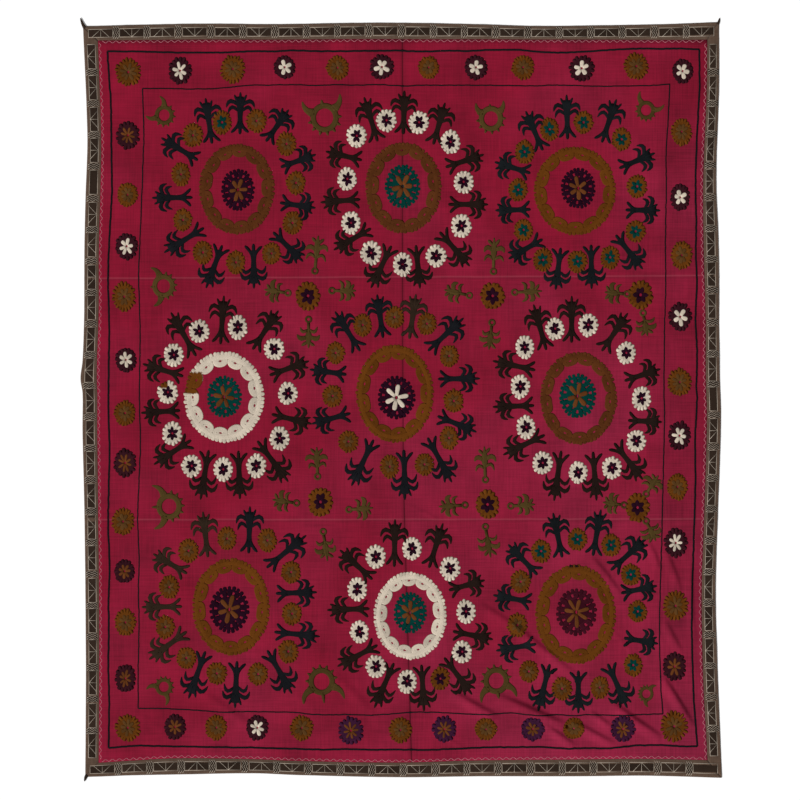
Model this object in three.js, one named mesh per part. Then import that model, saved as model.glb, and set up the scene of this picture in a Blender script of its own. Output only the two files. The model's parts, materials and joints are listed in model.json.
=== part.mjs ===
// Embroidered bedspread, laid face up: two lengths of crimson cloth that meet
// at a seam down the middle, bound all round with a wide patterned tape.
// Millimetres. +X is the right of the face, +Y its top and +Z faces the viewer.
// The origin is the middle of the underside.

import * as THREE from "three";

// Driving sizes
const MEAN_HALF_WIDTH = 1055;
const MEAN_HALF_HEIGHT = 1251;
const CLOTH_THICKNESS = 1.6;
const TAPE_THICKNESS = 2.4;
const FITTING_GAP = 0.3;

// How each side wanders. at: distance along the side from its middle, out: how
// far the outer edge stands outside the mean rectangle, tape: width of the tape.
const TOP_EDGE = [
  { at: -1060, out: -8, tape: 48 },
  { at: -1000, out: -7, tape: 48 },
  { at: -900, out: -4, tape: 50 },
  { at: -700, out: 0, tape: 52 },
  { at: -400, out: -1, tape: 51 },
  { at: -120, out: 3, tape: 53 },
  { at: 90, out: 2, tape: 53 },
  { at: 260, out: -2, tape: 49 },
  { at: 430, out: -7, tape: 45 },
  { at: 620, out: -6, tape: 46 },
  { at: 890, out: -1, tape: 52 },
  { at: 1060, out: 6, tape: 58 },
];
const BOTTOM_EDGE = [
  { at: -1060, out: 5, tape: 45 },
  { at: -1010, out: 4, tape: 46 },
  { at: -900, out: 0, tape: 49 },
  { at: -740, out: -3, tape: 54 },
  { at: -490, out: -7, tape: 47 },
  { at: -340, out: -1, tape: 47 },
  { at: 0, out: 6, tape: 49 },
  { at: 260, out: 3, tape: 53 },
  { at: 600, out: 3, tape: 56 },
  { at: 820, out: 1, tape: 56 },
  { at: 1060, out: 8, tape: 58 },
];
const LEFT_EDGE = [
  { at: -1250, out: -4, tape: 44 },
  { at: -960, out: -6, tape: 44 },
  { at: -720, out: -5, tape: 45 },
  { at: -370, out: -1, tape: 46 },
  { at: -110, out: 5, tape: 49 },
  { at: 20, out: 5, tape: 49 },
  { at: 70, out: 12, tape: 54 },
  { at: 130, out: 5, tape: 48 },
  { at: 270, out: 0, tape: 48 },
  { at: 500, out: -1, tape: 48 },
  { at: 680, out: -5, tape: 49 },
  { at: 850, out: -11, tape: 46 },
  { at: 980, out: -8, tape: 46 },
  { at: 1230, out: 3, tape: 48 },
];
const RIGHT_EDGE = [
  { at: -1250, out: 13, tape: 44 },
  { at: -1160, out: 9, tape: 45 },
  { at: -960, out: 1, tape: 48 },
  { at: -790, out: -5, tape: 47 },
  { at: -610, out: -8, tape: 45 },
  { at: -390, out: -1, tape: 44 },
  { at: -60, out: 10, tape: 46 },
  { at: 80, out: 6, tape: 46 },
  { at: 260, out: 4, tape: 44 },
  { at: 520, out: 2, tape: 49 },
  { at: 740, out: -6, tape: 42 },
  { at: 1020, out: 3, tape: 40 },
  { at: 1250, out: 4, tape: 38 },
];

// The middle seam leans to the right towards the bottom.
const SEAM = [
  { at: -1250, x: 37 },
  { at: -600, x: 18 },
  { at: -170, x: 8 },
  { at: 1250, x: 5 },
];

// Folds and wrinkles that lie in the cloth. Each is a soft ridge that starts
// and ends at nothing: height at its crest, reach from its crest to its foot.
const FOLDS = [
  { name: "lower long", from: [300, -968], bend: [480, -1036], to: [590, -1175], height: 7, reach: 44 },
  { name: "lower side", from: [480, -1050], bend: [580, -1090], to: [690, -1118], height: 5, reach: 36 },
  { name: "short", from: [590, -962], bend: [660, -1006], to: [740, -1052], height: 5, reach: 38 },
  { name: "corner", from: [756, -1050], bend: [820, -1100], to: [900, -1150], height: 5, reach: 38 },
  { name: "border", from: [850, -900], bend: [910, -990], to: [985, -1110], height: 6, reach: 42 },
  { name: "middle long", from: [270, -704], bend: [445, -798], to: [600, -940], height: 7, reach: 46 },
  { name: "upper", from: [530, -516], bend: [640, -582], to: [735, -648], height: 5, reach: 40 },
  { name: "by the seam", from: [160, -930], bend: [240, -970], to: [345, -1020], height: 4, reach: 36 },
  { name: "left", from: [-215, -918], bend: [-145, -990], to: [-80, -1060], height: 5, reach: 42 },
  { name: "far left", from: [-665, -970], bend: [-570, -1035], to: [-470, -1105], height: 5, reach: 44 },
  { name: "right wrinkle", from: [895, -430], bend: [905, -560], to: [918, -690], height: 4, reach: 34 },
  { name: "right ripple", from: [962, -520], bend: [966, -670], to: [978, -820], height: 4, reach: 34 },
];

// Two creases pressed in where the spread was folded in three, as heights up
// the cloth from 0 at the bottom tape to 1 at the top tape.
const CREASE_PLACES = [0.335, 0.67];
const CREASE_HEIGHT = 1.4;
const CREASE_REACH = 0.011;

// Grid steps, finer where the folds lie
const FINE_STEP = 31;
const COARSE_STEP = 92;
const FINE_TOP_OF_RIGHT = -420;
const FINE_TOP_OF_LEFT = -880;
const RIGHT_COLUMNS = 31;
const LEFT_COLUMNS = 25;
const TAPE_COLUMNS = 2;

// Tails of tape that stand out past three corners. tip: from the corner to the
// tail's end, grip: how far the tail holds along each side of the corner.
const TAILS = [
  { name: "tail_top_left", side: [-1, 1], tip: [-9, 27], grip: 9 },
  { name: "tail_top_right", side: [1, 1], tip: [1, 13], grip: 7 },
  { name: "tail_bottom_left", side: [-1, -1], tip: [-2, -15], grip: 8 },
];
const TAIL_THICKNESS = 2.4;
const TAIL_END_WIDTH = 2;

const crimson = { color: 0x86142e, roughness: 0.85, metalness: 0 };
const tapeBrown = { color: 0x4b3b30, roughness: 0.9, metalness: 0 };

// Smooth curve through a table's rows: each stretch is a cubic whose slope at a
// row is the slope between that row's neighbours.
function alongTable(rows, at, column) {
  const last = rows.length - 1;
  const clamped = Math.min(Math.max(at, rows[0].at), rows[last].at);
  const found = rows.findIndex((row) => row.at > clamped);
  const upper = found < 0 ? last : found;
  const lower = upper - 1;
  const slopeAt = (index) => {
    const before = rows[Math.max(index - 1, 0)];
    const after = rows[Math.min(index + 1, last)];
    return (after[column] - before[column]) / (after.at - before.at);
  };
  const step = rows[upper].at - rows[lower].at;
  const t = (clamped - rows[lower].at) / step;
  const rise = rows[upper][column] - rows[lower][column];
  const cubic = (3 - 2 * t) * t * t * rise;
  const leaving = slopeAt(lower) * step * t * (1 - t) * (1 - t);
  const arriving = slopeAt(upper) * step * t * t * (t - 1);
  return rows[lower][column] + cubic + leaving + arriving;
}

// The four sides as functions of the distance along them. inset moves the line
// in from the outer edge by that many tape widths plus a plain distance.
const SIDES = {
  top: (x, tapes, extra) => MEAN_HALF_HEIGHT + inOrOut(TOP_EDGE, x, tapes, extra),
  bottom: (x, tapes, extra) => -MEAN_HALF_HEIGHT - inOrOut(BOTTOM_EDGE, x, tapes, extra),
  left: (y, tapes, extra) => -MEAN_HALF_WIDTH - inOrOut(LEFT_EDGE, y, tapes, extra),
  right: (y, tapes, extra) => MEAN_HALF_WIDTH + inOrOut(RIGHT_EDGE, y, tapes, extra),
};

function inOrOut(rows, at, tapes, extra) {
  return alongTable(rows, at, "out") - tapes * alongTable(rows, at, "tape") - extra;
}

function mix(one, other, t) {
  return one + (other - one) * t;
}

function seamX(y) {
  return alongTable(SEAM, y, "x");
}

// Where a side that runs up meets a side that runs across, found by turns.
function corner(xOfY, yOfX, startY) {
  let y = startY;
  for (let turn = 0; turn < 12; turn += 1) {
    y = yOfX(xOfY(y));
  }
  return [xOfY(y), y];
}

// Distance from a point to one straight stretch, and how far along it is.
function toStretch(x, y, from, to) {
  const run = [to[0] - from[0], to[1] - from[1]];
  const length = Math.hypot(run[0], run[1]);
  const raw = ((x - from[0]) * run[0] + (y - from[1]) * run[1]) / (length * length);
  const t = Math.min(Math.max(raw, 0), 1);
  const distance = Math.hypot(x - from[0] - t * run[0], y - from[1] - t * run[1]);
  return { distance, along: t * length, length };
}

// Height of one fold over a point: a cosine hump across, fading to its ends.
function foldHeight(x, y, fold) {
  const first = toStretch(x, y, fold.from, fold.bend);
  const second = toStretch(x, y, fold.bend, fold.to);
  const onFirst = first.distance < second.distance;
  const distance = onFirst ? first.distance : second.distance;
  if (distance >= fold.reach) {
    return 0;
  }
  const travelled = onFirst ? first.along : first.length + second.along;
  const t = travelled / (first.length + second.length);
  const hump = 0.5 + 0.5 * Math.cos((Math.PI * distance) / fold.reach);
  return fold.height * hump * Math.sqrt(Math.sin(Math.PI * t));
}

function lift(x, y) {
  return FOLDS.reduce((highest, fold) => Math.max(highest, foldHeight(x, y, fold)), 0);
}

function creaseLift(up) {
  const nearest = Math.min(...CREASE_PLACES.map((place) => Math.abs(up - place)));
  return CREASE_HEIGHT * Math.max(0, 1 - nearest / CREASE_REACH);
}

// A sheet as a closed solid: a grid of points for the face, the same grid one
// thickness lower for the back, and a rim that joins them.
function sheetSolid(place, across, up, thickness) {
  const columns = across.length;
  const rows = up.length;
  const face = [];
  const back = [];
  up.forEach((v) => {
    across.forEach((u) => {
      const [x, y, z] = place(u, v);
      face.push(x, y, z + thickness);
      back.push(x, y, z);
    });
  });
  const backStart = rows * columns;
  const at = (column, row) => row * columns + column;
  const triangles = [];
  for (let row = 0; row < rows - 1; row += 1) {
    for (let column = 0; column < columns - 1; column += 1) {
      const a = at(column, row);
      const b = at(column + 1, row);
      const c = at(column + 1, row + 1);
      const d = at(column, row + 1);
      triangles.push(a, b, c, a, c, d);
      triangles.push(backStart + a, backStart + c, backStart + b);
      triangles.push(backStart + a, backStart + d, backStart + c);
    }
  }
  const addRim = (p, q) => {
    triangles.push(p, backStart + q, q, p, backStart + p, backStart + q);
  };
  for (let column = 0; column < columns - 1; column += 1) {
    addRim(at(column, 0), at(column + 1, 0));
    addRim(at(column + 1, rows - 1), at(column, rows - 1));
  }
  for (let row = 0; row < rows - 1; row += 1) {
    addRim(at(columns - 1, row), at(columns - 1, row + 1));
    addRim(at(0, row + 1), at(0, row));
  }
  const geometry = new THREE.BufferGeometry();
  geometry.setAttribute("position", new THREE.Float32BufferAttribute([...face, ...back], 3));
  geometry.setIndex(triangles);
  geometry.computeVertexNormals();
  return geometry;
}

function evenSteps(count) {
  return Array.from({ length: count + 1 }, (_, index) => index / count);
}

// Rows up a panel, as fractions of its height: fine steps below fineTop, coarse
// steps above it, and three rows for each crease.
function panelRows(fineTop) {
  const bottom = -MEAN_HALF_HEIGHT + TOP_EDGE[0].tape;
  const height = 2 * (MEAN_HALF_HEIGHT - TOP_EDGE[0].tape);
  const split = (fineTop - bottom) / height;
  const fineCount = Math.round((split * height) / FINE_STEP);
  const coarseCount = Math.round(((1 - split) * height) / COARSE_STEP);
  const fine = evenSteps(fineCount).map((t) => t * split);
  const coarse = evenSteps(coarseCount).map((t) => split + t * (1 - split)).slice(1);
  const creases = CREASE_PLACES.flatMap((place) => [place - CREASE_REACH, place, place + CREASE_REACH]);
  const clearOfCreases = (row) => creases.every((other) => Math.abs(row - other) > CREASE_REACH / 2);
  const kept = [...fine, ...coarse].filter(clearOfCreases);
  return [...kept, ...creases].sort((one, other) => one - other);
}

// One length of cloth. Its four edges are exact, and the points between are
// blended from them.
function panel(xLeft, xRight, across, up) {
  const yBottom = (x) => SIDES.bottom(x, 1, FITTING_GAP);
  const yTop = (x) => SIDES.top(x, 1, FITTING_GAP);
  const bottomLeft = corner(xLeft, yBottom, -MEAN_HALF_HEIGHT);
  const bottomRight = corner(xRight, yBottom, -MEAN_HALF_HEIGHT);
  const topLeft = corner(xLeft, yTop, MEAN_HALF_HEIGHT);
  const topRight = corner(xRight, yTop, MEAN_HALF_HEIGHT);
  const place = (u, v) => {
    const lowX = mix(bottomLeft[0], bottomRight[0], u);
    const highX = mix(topLeft[0], topRight[0], u);
    const leftY = mix(bottomLeft[1], topLeft[1], v);
    const rightY = mix(bottomRight[1], topRight[1], v);
    const x = mix(xLeft(leftY), xRight(rightY), u);
    const sideY = mix(leftY, rightY, u);
    const lowWander = yBottom(lowX) - mix(bottomLeft[1], bottomRight[1], u);
    const highWander = yTop(highX) - mix(topLeft[1], topRight[1], u);
    const straightX = mix(mix(bottomLeft[0], topLeft[0], v), mix(bottomRight[0], topRight[0], v), u);
    const shiftX = mix(lowX, highX, v) - straightX;
    const y = sideY + mix(lowWander, highWander, v);
    return [x + shiftX, y, lift(x + shiftX, y) + creaseLift(v)];
  };
  return sheetSolid(place, across, up, CLOTH_THICKNESS);
}

// A strip of tape along one side, mitred at both ends. edge gives a point of
// the side for a distance along it and a number of tape widths inwards. along
// holds the same steps as the cloth beside it, so that the two edges match.
function tapeStrip(edge, innerEnds, outerEnds, along, faceLeft) {
  const place = (u, v) => {
    const widthPart = faceLeft ? u : 1 - u;
    const inner = edge(mix(innerEnds[0], innerEnds[1], v), 1);
    const outer = edge(mix(outerEnds[0], outerEnds[1], v), 0);
    const x = mix(outer[0], inner[0], widthPart);
    const y = mix(outer[1], inner[1], widthPart);
    return [x, y, lift(x, y)];
  };
  return sheetSolid(place, evenSteps(TAPE_COLUMNS), along, TAPE_THICKNESS);
}

// The corners of the tape: outer ones on the spread's edge, inner ones where
// the tape meets the cloth.
function tapeCorners(tapes) {
  const xLeft = (y) => SIDES.left(y, tapes, 0);
  const xRight = (y) => SIDES.right(y, tapes, 0);
  const yBottom = (x) => SIDES.bottom(x, tapes, 0);
  const yTop = (x) => SIDES.top(x, tapes, 0);
  return {
    bottomLeft: corner(xLeft, yBottom, -MEAN_HALF_HEIGHT),
    bottomRight: corner(xRight, yBottom, -MEAN_HALF_HEIGHT),
    topLeft: corner(xLeft, yTop, MEAN_HALF_HEIGHT),
    topRight: corner(xRight, yTop, MEAN_HALF_HEIGHT),
  };
}

// A tail of tape: a flat pointed piece whose notch fits round the corner.
function tail(row, cornerPoint) {
  const [sideX, sideY] = row.side;
  const [x, y] = cornerPoint;
  const notch = [x + sideX * FITTING_GAP, y + sideY * FITTING_GAP];
  const alongTop = [notch[0] - sideX * row.grip, notch[1]];
  const alongSide = [notch[0], notch[1] - sideY * row.grip];
  const tip = [x + row.tip[0], y + row.tip[1]];
  const half = TAIL_END_WIDTH / 2;
  const outline = new THREE.Shape();
  outline.moveTo(notch[0], notch[1]);
  outline.lineTo(alongTop[0], alongTop[1]);
  outline.lineTo(tip[0] - sideX * half, tip[1]);
  outline.lineTo(tip[0] + sideX * half, tip[1]);
  outline.lineTo(alongSide[0], alongSide[1]);
  outline.closePath();
  return new THREE.ExtrudeGeometry(outline, { depth: TAIL_THICKNESS, bevelEnabled: false });
}

function addPiece(group, name, geometry, finish) {
  const mesh = new THREE.Mesh(geometry, new THREE.MeshStandardMaterial(finish));
  mesh.name = name;
  group.add(mesh);
}

function addPanels(group) {
  const leftOfCloth = (y) => SIDES.left(y, 1, FITTING_GAP);
  const rightOfCloth = (y) => SIDES.right(y, 1, FITTING_GAP);
  const leftOfSeam = (y) => seamX(y) - FITTING_GAP / 2;
  const rightOfSeam = (y) => seamX(y) + FITTING_GAP / 2;
  const left = panel(leftOfCloth, leftOfSeam, evenSteps(LEFT_COLUMNS), LEFT_ROWS);
  const right = panel(rightOfSeam, rightOfCloth, evenSteps(RIGHT_COLUMNS), RIGHT_ROWS);
  addPiece(group, "panel_left", left, crimson);
  addPiece(group, "panel_right", right, crimson);
}

// Steps along a level strip: the left cloth's columns, then the right one's.
function levelSteps(ends, seamPlace) {
  const part = (seamPlace - ends[0]) / (ends[1] - ends[0]);
  const beforeSeam = evenSteps(LEFT_COLUMNS).map((t) => t * part);
  const afterSeam = evenSteps(RIGHT_COLUMNS).map((t) => part + t * (1 - part));
  return [...beforeSeam, ...afterSeam.slice(1)];
}

function shrunk([low, high]) {
  return [low + FITTING_GAP, high - FITTING_GAP];
}

function addUprightTape(group, name, side, ends, along, facesLeft) {
  const edge = (at, tapes) => [SIDES[side](at, tapes, 0), at];
  addPiece(group, name, tapeStrip(edge, ends.inner, ends.outer, along, facesLeft), tapeBrown);
}

function addLevelTape(group, name, side, ends, facesLeft) {
  const edge = (at, tapes) => [at, SIDES[side](at, tapes, 0)];
  const seamPlace = seamX(SIDES[side](0, 1, 0));
  const along = levelSteps(ends.inner, seamPlace);
  addPiece(group, name, tapeStrip(edge, ends.inner, ends.outer, along, facesLeft), tapeBrown);
}

// How far a strip runs between two corners, inside and outside.
function stripEnds(inner, outer, low, high, axis) {
  return {
    inner: shrunk([inner[low][axis], inner[high][axis]]),
    outer: shrunk([outer[low][axis], outer[high][axis]]),
  };
}

function addTapes(group, inner, outer) {
  const leftEnds = stripEnds(inner, outer, "bottomLeft", "topLeft", 1);
  const rightEnds = stripEnds(inner, outer, "bottomRight", "topRight", 1);
  const topEnds = stripEnds(inner, outer, "topLeft", "topRight", 0);
  const bottomEnds = stripEnds(inner, outer, "bottomLeft", "bottomRight", 0);
  addUprightTape(group, "binding_left", "left", leftEnds, LEFT_ROWS, true);
  addUprightTape(group, "binding_right", "right", rightEnds, RIGHT_ROWS, false);
  addLevelTape(group, "binding_top", "top", topEnds, true);
  addLevelTape(group, "binding_bottom", "bottom", bottomEnds, false);
}

function addTails(group, outer) {
  const cornerOf = {
    tail_top_left: outer.topLeft,
    tail_top_right: outer.topRight,
    tail_bottom_left: outer.bottomLeft,
  };
  TAILS.forEach((row) => {
    addPiece(group, row.name, tail(row, cornerOf[row.name]), tapeBrown);
  });
}

const LEFT_ROWS = panelRows(FINE_TOP_OF_LEFT);
const RIGHT_ROWS = panelRows(FINE_TOP_OF_RIGHT);
const bedspread = new THREE.Group();
const innerCorners = tapeCorners(1);
const outerCorners = tapeCorners(0);
addPanels(bedspread);
addTapes(bedspread, innerCorners, outerCorners);
addTails(bedspread, outerCorners);

// The origin sits in the middle of the whole outline.
const outline = new THREE.Box3().setFromObject(bedspread);
const middle = outline.getCenter(new THREE.Vector3());
bedspread.position.set(-middle.x, -middle.y, 0);

export default bedspread;
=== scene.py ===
# %% [markdown]
# # An embroidered bedspread
#
# This file dresses the plain solids of a large bedspread: crimson cloth in two
# joined lengths, a patterned tape round the edge, and nine ring medallions in
# chain stitch. Each step says what the real piece is, how it could be made in
# Blender, and why it is made the way it is here.

# %% Load the frame
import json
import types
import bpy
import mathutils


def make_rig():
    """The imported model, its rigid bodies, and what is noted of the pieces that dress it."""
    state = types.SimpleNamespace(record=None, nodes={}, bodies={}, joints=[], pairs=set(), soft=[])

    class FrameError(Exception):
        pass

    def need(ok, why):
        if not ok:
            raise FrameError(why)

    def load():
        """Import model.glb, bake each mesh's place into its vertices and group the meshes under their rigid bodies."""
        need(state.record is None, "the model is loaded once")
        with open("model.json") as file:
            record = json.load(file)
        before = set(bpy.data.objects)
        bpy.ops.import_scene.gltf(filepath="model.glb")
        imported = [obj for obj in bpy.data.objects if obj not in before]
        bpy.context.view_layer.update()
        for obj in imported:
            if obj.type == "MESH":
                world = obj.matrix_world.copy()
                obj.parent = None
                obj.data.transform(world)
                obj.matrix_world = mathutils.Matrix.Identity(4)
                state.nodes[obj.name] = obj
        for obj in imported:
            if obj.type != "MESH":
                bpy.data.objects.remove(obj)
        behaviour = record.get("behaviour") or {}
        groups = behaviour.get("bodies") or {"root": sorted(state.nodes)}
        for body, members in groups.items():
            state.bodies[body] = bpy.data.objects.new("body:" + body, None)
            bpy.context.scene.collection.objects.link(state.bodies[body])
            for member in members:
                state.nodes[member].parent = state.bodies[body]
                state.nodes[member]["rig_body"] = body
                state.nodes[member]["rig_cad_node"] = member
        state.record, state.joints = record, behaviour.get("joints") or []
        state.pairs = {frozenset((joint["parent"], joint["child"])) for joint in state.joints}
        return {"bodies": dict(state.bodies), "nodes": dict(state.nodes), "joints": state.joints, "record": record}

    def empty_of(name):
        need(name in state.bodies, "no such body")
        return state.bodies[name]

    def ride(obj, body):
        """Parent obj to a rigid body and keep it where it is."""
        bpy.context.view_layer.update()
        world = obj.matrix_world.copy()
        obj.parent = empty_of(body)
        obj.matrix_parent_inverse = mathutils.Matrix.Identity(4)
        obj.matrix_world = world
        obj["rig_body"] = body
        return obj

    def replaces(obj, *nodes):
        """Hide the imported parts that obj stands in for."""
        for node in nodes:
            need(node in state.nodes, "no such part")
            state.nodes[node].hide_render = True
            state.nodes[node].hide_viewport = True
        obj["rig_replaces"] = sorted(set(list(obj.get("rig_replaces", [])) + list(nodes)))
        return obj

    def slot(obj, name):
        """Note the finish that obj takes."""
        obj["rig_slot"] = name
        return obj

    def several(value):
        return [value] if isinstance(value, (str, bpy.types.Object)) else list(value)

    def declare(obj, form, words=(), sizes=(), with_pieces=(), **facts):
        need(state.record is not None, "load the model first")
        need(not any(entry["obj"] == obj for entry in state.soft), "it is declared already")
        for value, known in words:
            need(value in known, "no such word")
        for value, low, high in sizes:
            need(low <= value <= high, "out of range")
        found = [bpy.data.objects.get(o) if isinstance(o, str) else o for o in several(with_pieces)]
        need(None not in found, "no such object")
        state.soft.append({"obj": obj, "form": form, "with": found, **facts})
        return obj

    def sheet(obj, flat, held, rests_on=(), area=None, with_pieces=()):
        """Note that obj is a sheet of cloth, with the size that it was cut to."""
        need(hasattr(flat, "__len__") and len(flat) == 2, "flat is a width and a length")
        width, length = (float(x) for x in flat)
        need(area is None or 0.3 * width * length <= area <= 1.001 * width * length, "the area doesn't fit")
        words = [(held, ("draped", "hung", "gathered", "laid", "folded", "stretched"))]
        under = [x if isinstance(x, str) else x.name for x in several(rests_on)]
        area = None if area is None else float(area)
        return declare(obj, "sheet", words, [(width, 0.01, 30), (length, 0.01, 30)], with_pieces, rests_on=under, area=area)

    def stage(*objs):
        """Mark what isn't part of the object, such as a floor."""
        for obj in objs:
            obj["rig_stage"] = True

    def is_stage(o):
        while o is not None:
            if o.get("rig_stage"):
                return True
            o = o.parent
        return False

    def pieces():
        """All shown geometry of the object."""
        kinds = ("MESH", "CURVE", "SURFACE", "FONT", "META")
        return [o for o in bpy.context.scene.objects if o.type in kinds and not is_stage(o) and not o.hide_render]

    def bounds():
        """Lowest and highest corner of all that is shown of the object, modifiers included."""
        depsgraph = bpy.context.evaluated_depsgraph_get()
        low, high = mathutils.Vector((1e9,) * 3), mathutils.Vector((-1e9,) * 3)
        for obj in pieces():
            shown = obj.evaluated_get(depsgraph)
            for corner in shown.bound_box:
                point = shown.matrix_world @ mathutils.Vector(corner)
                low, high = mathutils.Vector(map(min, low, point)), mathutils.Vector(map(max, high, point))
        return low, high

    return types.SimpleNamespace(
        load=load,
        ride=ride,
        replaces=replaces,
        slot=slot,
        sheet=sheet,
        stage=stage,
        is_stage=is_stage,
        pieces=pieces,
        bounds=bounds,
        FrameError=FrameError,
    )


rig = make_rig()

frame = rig.load()

import json

import bpy
from mathutils import Vector
import numpy as np

CAD_LOW, CAD_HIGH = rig.bounds()
print("solids:", len(frame["nodes"]), "height of the spread:", round(CAD_HIGH.y - CAD_LOW.y, 3), "m")

# %% [markdown]
# ## Sizes and places
#
# The bedspread lies face up with its middle at the origin. Places of the
# embroidery were read on enlarged views of the photo with a grid, and are
# written in the photo's own pixels. One function turns them into metres.
# Edges and folds are in millimetres, as in the solids.

# %% Scale and places
PIXEL = 0.00333
PHOTO_MIDDLE = (401.0, 399.6)
MM = 0.001
CLOTH_THICKNESS = 1.6 * MM
TAPE_THICKNESS = 2.4 * MM
FITTING_GAP = 0.3 * MM
RANDOM = np.random.default_rng(1907)


def spot(x, y):
    """Metres from pixels: x counts right from the photo's middle, y up from it."""
    across = (np.asarray(x, float) - PHOTO_MIDDLE[0]) * PIXEL
    up = (PHOTO_MIDDLE[1] - np.asarray(y, float)) * PIXEL
    return np.stack([across, up], axis=-1)


def spots(pairs):
    """The same for a list of (x, y) pixel pairs."""
    pairs = np.asarray(pairs, float)
    return spot(pairs[..., 0], pairs[..., 1])


print("one pixel is", PIXEL / MM, "mm")

# %% [markdown]
# ## Colours
#
# The plain colours are base colours. The thread colours are seen ones, chosen by
# hand from a program's readings of the photo at places with that thread, except
# green_olive, which was changed by hand later. A seen colour has some light from
# the surface of the thread in it, and one function takes that out. Shaders work
# in linear light, so each code goes through the sRGB curve once.

# %% Colours
PLAIN_COLOURS = {
    "crimson": "7d162c",
    # seam: the dark thread of the seam, which also paints its shadow line.
    "pink": "c07c86",
    "seam": "3a0812",
    "tape": "40322a",
    "tape_dark": "2f241d",
    "tape_grey": "ab9f90",
}
# Thread colours as they are seen.
SEEN_COLOURS = {
    "olive": "593210",
    "brown_olive": "4f2b15",
    "grey_olive": "4f351b",
    "green_olive": "44351b",
    "white": "bcaf9e",
    "plum": "200c18",
    "violet": "33162b",
    "maroon": "35101a",
    "wine": "2f141a",
    "teal": "07332e",
    "deep_teal": "16191b",
    "gold": "5a3319",
    "navy": "16171a",
    "black": "1f1613",
    "faded_green": "2d221a",
}
# Linear light that the surface adds, and the share of its own colour that it shows.
SURFACE_LIGHT = 0.0016
BODY_SHARE = 0.92


def linear(code):
    """Linear red, green, blue and 1 from a hexadecimal sRGB code: each channel c
    becomes c / 12.92 below 0.04045, else ((c + 0.055) / 1.055) to the power 2.4."""
    channels = np.array([int(code[start : start + 2], 16) / 255 for start in (0, 2, 4)])
    curved = ((channels + 0.055) / 1.055) ** 2.4
    straight = channels / 12.92
    return (*np.where(channels < 0.04045, straight, curved), 1.0)


def thread_base(name):
    """Linear base colour of a thread. A seen colour is taken back to its base:
    (seen minus SURFACE_LIGHT) divided by BODY_SHARE, and never below 0."""
    if name in PLAIN_COLOURS:
        return linear(PLAIN_COLOURS[name])
    seen = np.array(linear(SEEN_COLOURS[name])[:3])
    return (*np.maximum((seen - SURFACE_LIGHT) / BODY_SHARE, 0.0), 1.0)


print("colours:", len(PLAIN_COLOURS) + len(SEEN_COLOURS))

# %% [markdown]
# ## The edge of the spread
#
# A hand-made spread has no straight side. A table for each side says how far
# the edge stands outside a mean rectangle, and how wide the tape is there. A
# smooth curve through a few rows is enough: it is the same curve that shapes
# the solids, so the dressed cloth ends exactly where they do.

# %% Edge tables
MEAN_HALF_WIDTH = 1055 * MM
MEAN_HALF_HEIGHT = 1251 * MM
# Columns: place along the side, out from the mean rectangle, width of the tape, in mm.
EDGES = {
    "top": [
        (-1060, -8, 48), (-1000, -7, 48), (-900, -4, 50), (-700, 0, 52), (-400, -1, 51), (-120, 3, 53),
        (90, 2, 53), (260, -2, 49), (430, -7, 45), (620, -6, 46), (890, -1, 52), (1060, 6, 58),
    ],
    "bottom": [
        (-1060, 5, 45), (-1010, 4, 46), (-900, 0, 49), (-740, -3, 54), (-490, -7, 47), (-340, -1, 47),
        (0, 6, 49), (260, 3, 53), (600, 3, 56), (820, 1, 56), (1060, 8, 58),
    ],
    "left": [
        (-1250, -4, 44), (-960, -6, 44), (-720, -5, 45), (-370, -1, 46), (-110, 5, 49), (20, 5, 49),
        (70, 12, 54), (130, 5, 48), (270, 0, 48), (500, -1, 48), (680, -5, 49), (850, -11, 46),
        (980, -8, 46), (1230, 3, 48),
    ],
    "right": [
        (-1250, 13, 44), (-1160, 9, 45), (-960, 1, 48), (-790, -5, 47), (-610, -8, 45), (-390, -1, 44),
        (-60, 10, 46), (80, 6, 46), (260, 4, 44), (520, 2, 49), (740, -6, 42), (1020, 3, 40), (1250, 4, 38),
    ],
}
# Columns: place up the spread and how far right the seam stands there, in mm.
SEAM = [(-1250, 37), (-600, 18), (-170, 8), (1250, 5)]


def along_table(rows, at, column):
    """Smooth curve through the rows: on each stretch a cubic that keeps, at both
    ends, the slope between the neighbours of that row."""
    table = np.asarray(rows, float) * MM
    places = table[:, 0]
    values = table[:, column]
    last = len(places) - 1
    before = np.maximum(np.arange(last + 1) - 1, 0)
    after = np.minimum(np.arange(last + 1) + 1, last)
    slopes = (values[after] - values[before]) / (places[after] - places[before])
    clamped = np.clip(at, places[0], places[-1])
    low = np.clip(np.searchsorted(places, clamped, side="right") - 1, 0, last - 1)
    step = places[low + 1] - places[low]
    t = (clamped - places[low]) / step
    rise = (values[low + 1] - values[low]) * (3 - 2 * t) * t * t
    bend = step * t * (1 - t) * (slopes[low] * (1 - t) - slopes[low + 1] * t)
    return values[low] + rise + bend


def side_line(side, at, tapes=0.0, extra=0.0):
    """Where a side stands for a distance along it, moved in by a number of tape
    widths and a plain distance. Left and bottom are negative."""
    out = along_table(EDGES[side], at, 1)
    inwards = tapes * along_table(EDGES[side], at, 2) + extra
    mean = MEAN_HALF_HEIGHT if side in ("top", "bottom") else MEAN_HALF_WIDTH
    sign = -1 if side in ("left", "bottom") else 1
    return sign * (mean + out - inwards)


def seam_line(y):
    """How far right of the middle the seam stands at a height."""
    return along_table(SEAM, y, 1)


def meeting_point(upright, level, start):
    """Corner of an upright line x(y) and a level line y(x), found by turns."""
    y = start
    for _ in range(12):
        y = level(upright(y))
    return np.array([upright(y), y])


print("seam leans", round(float(seam_line(-1.2) - seam_line(1.2)) / MM), "mm to the right")
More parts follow.
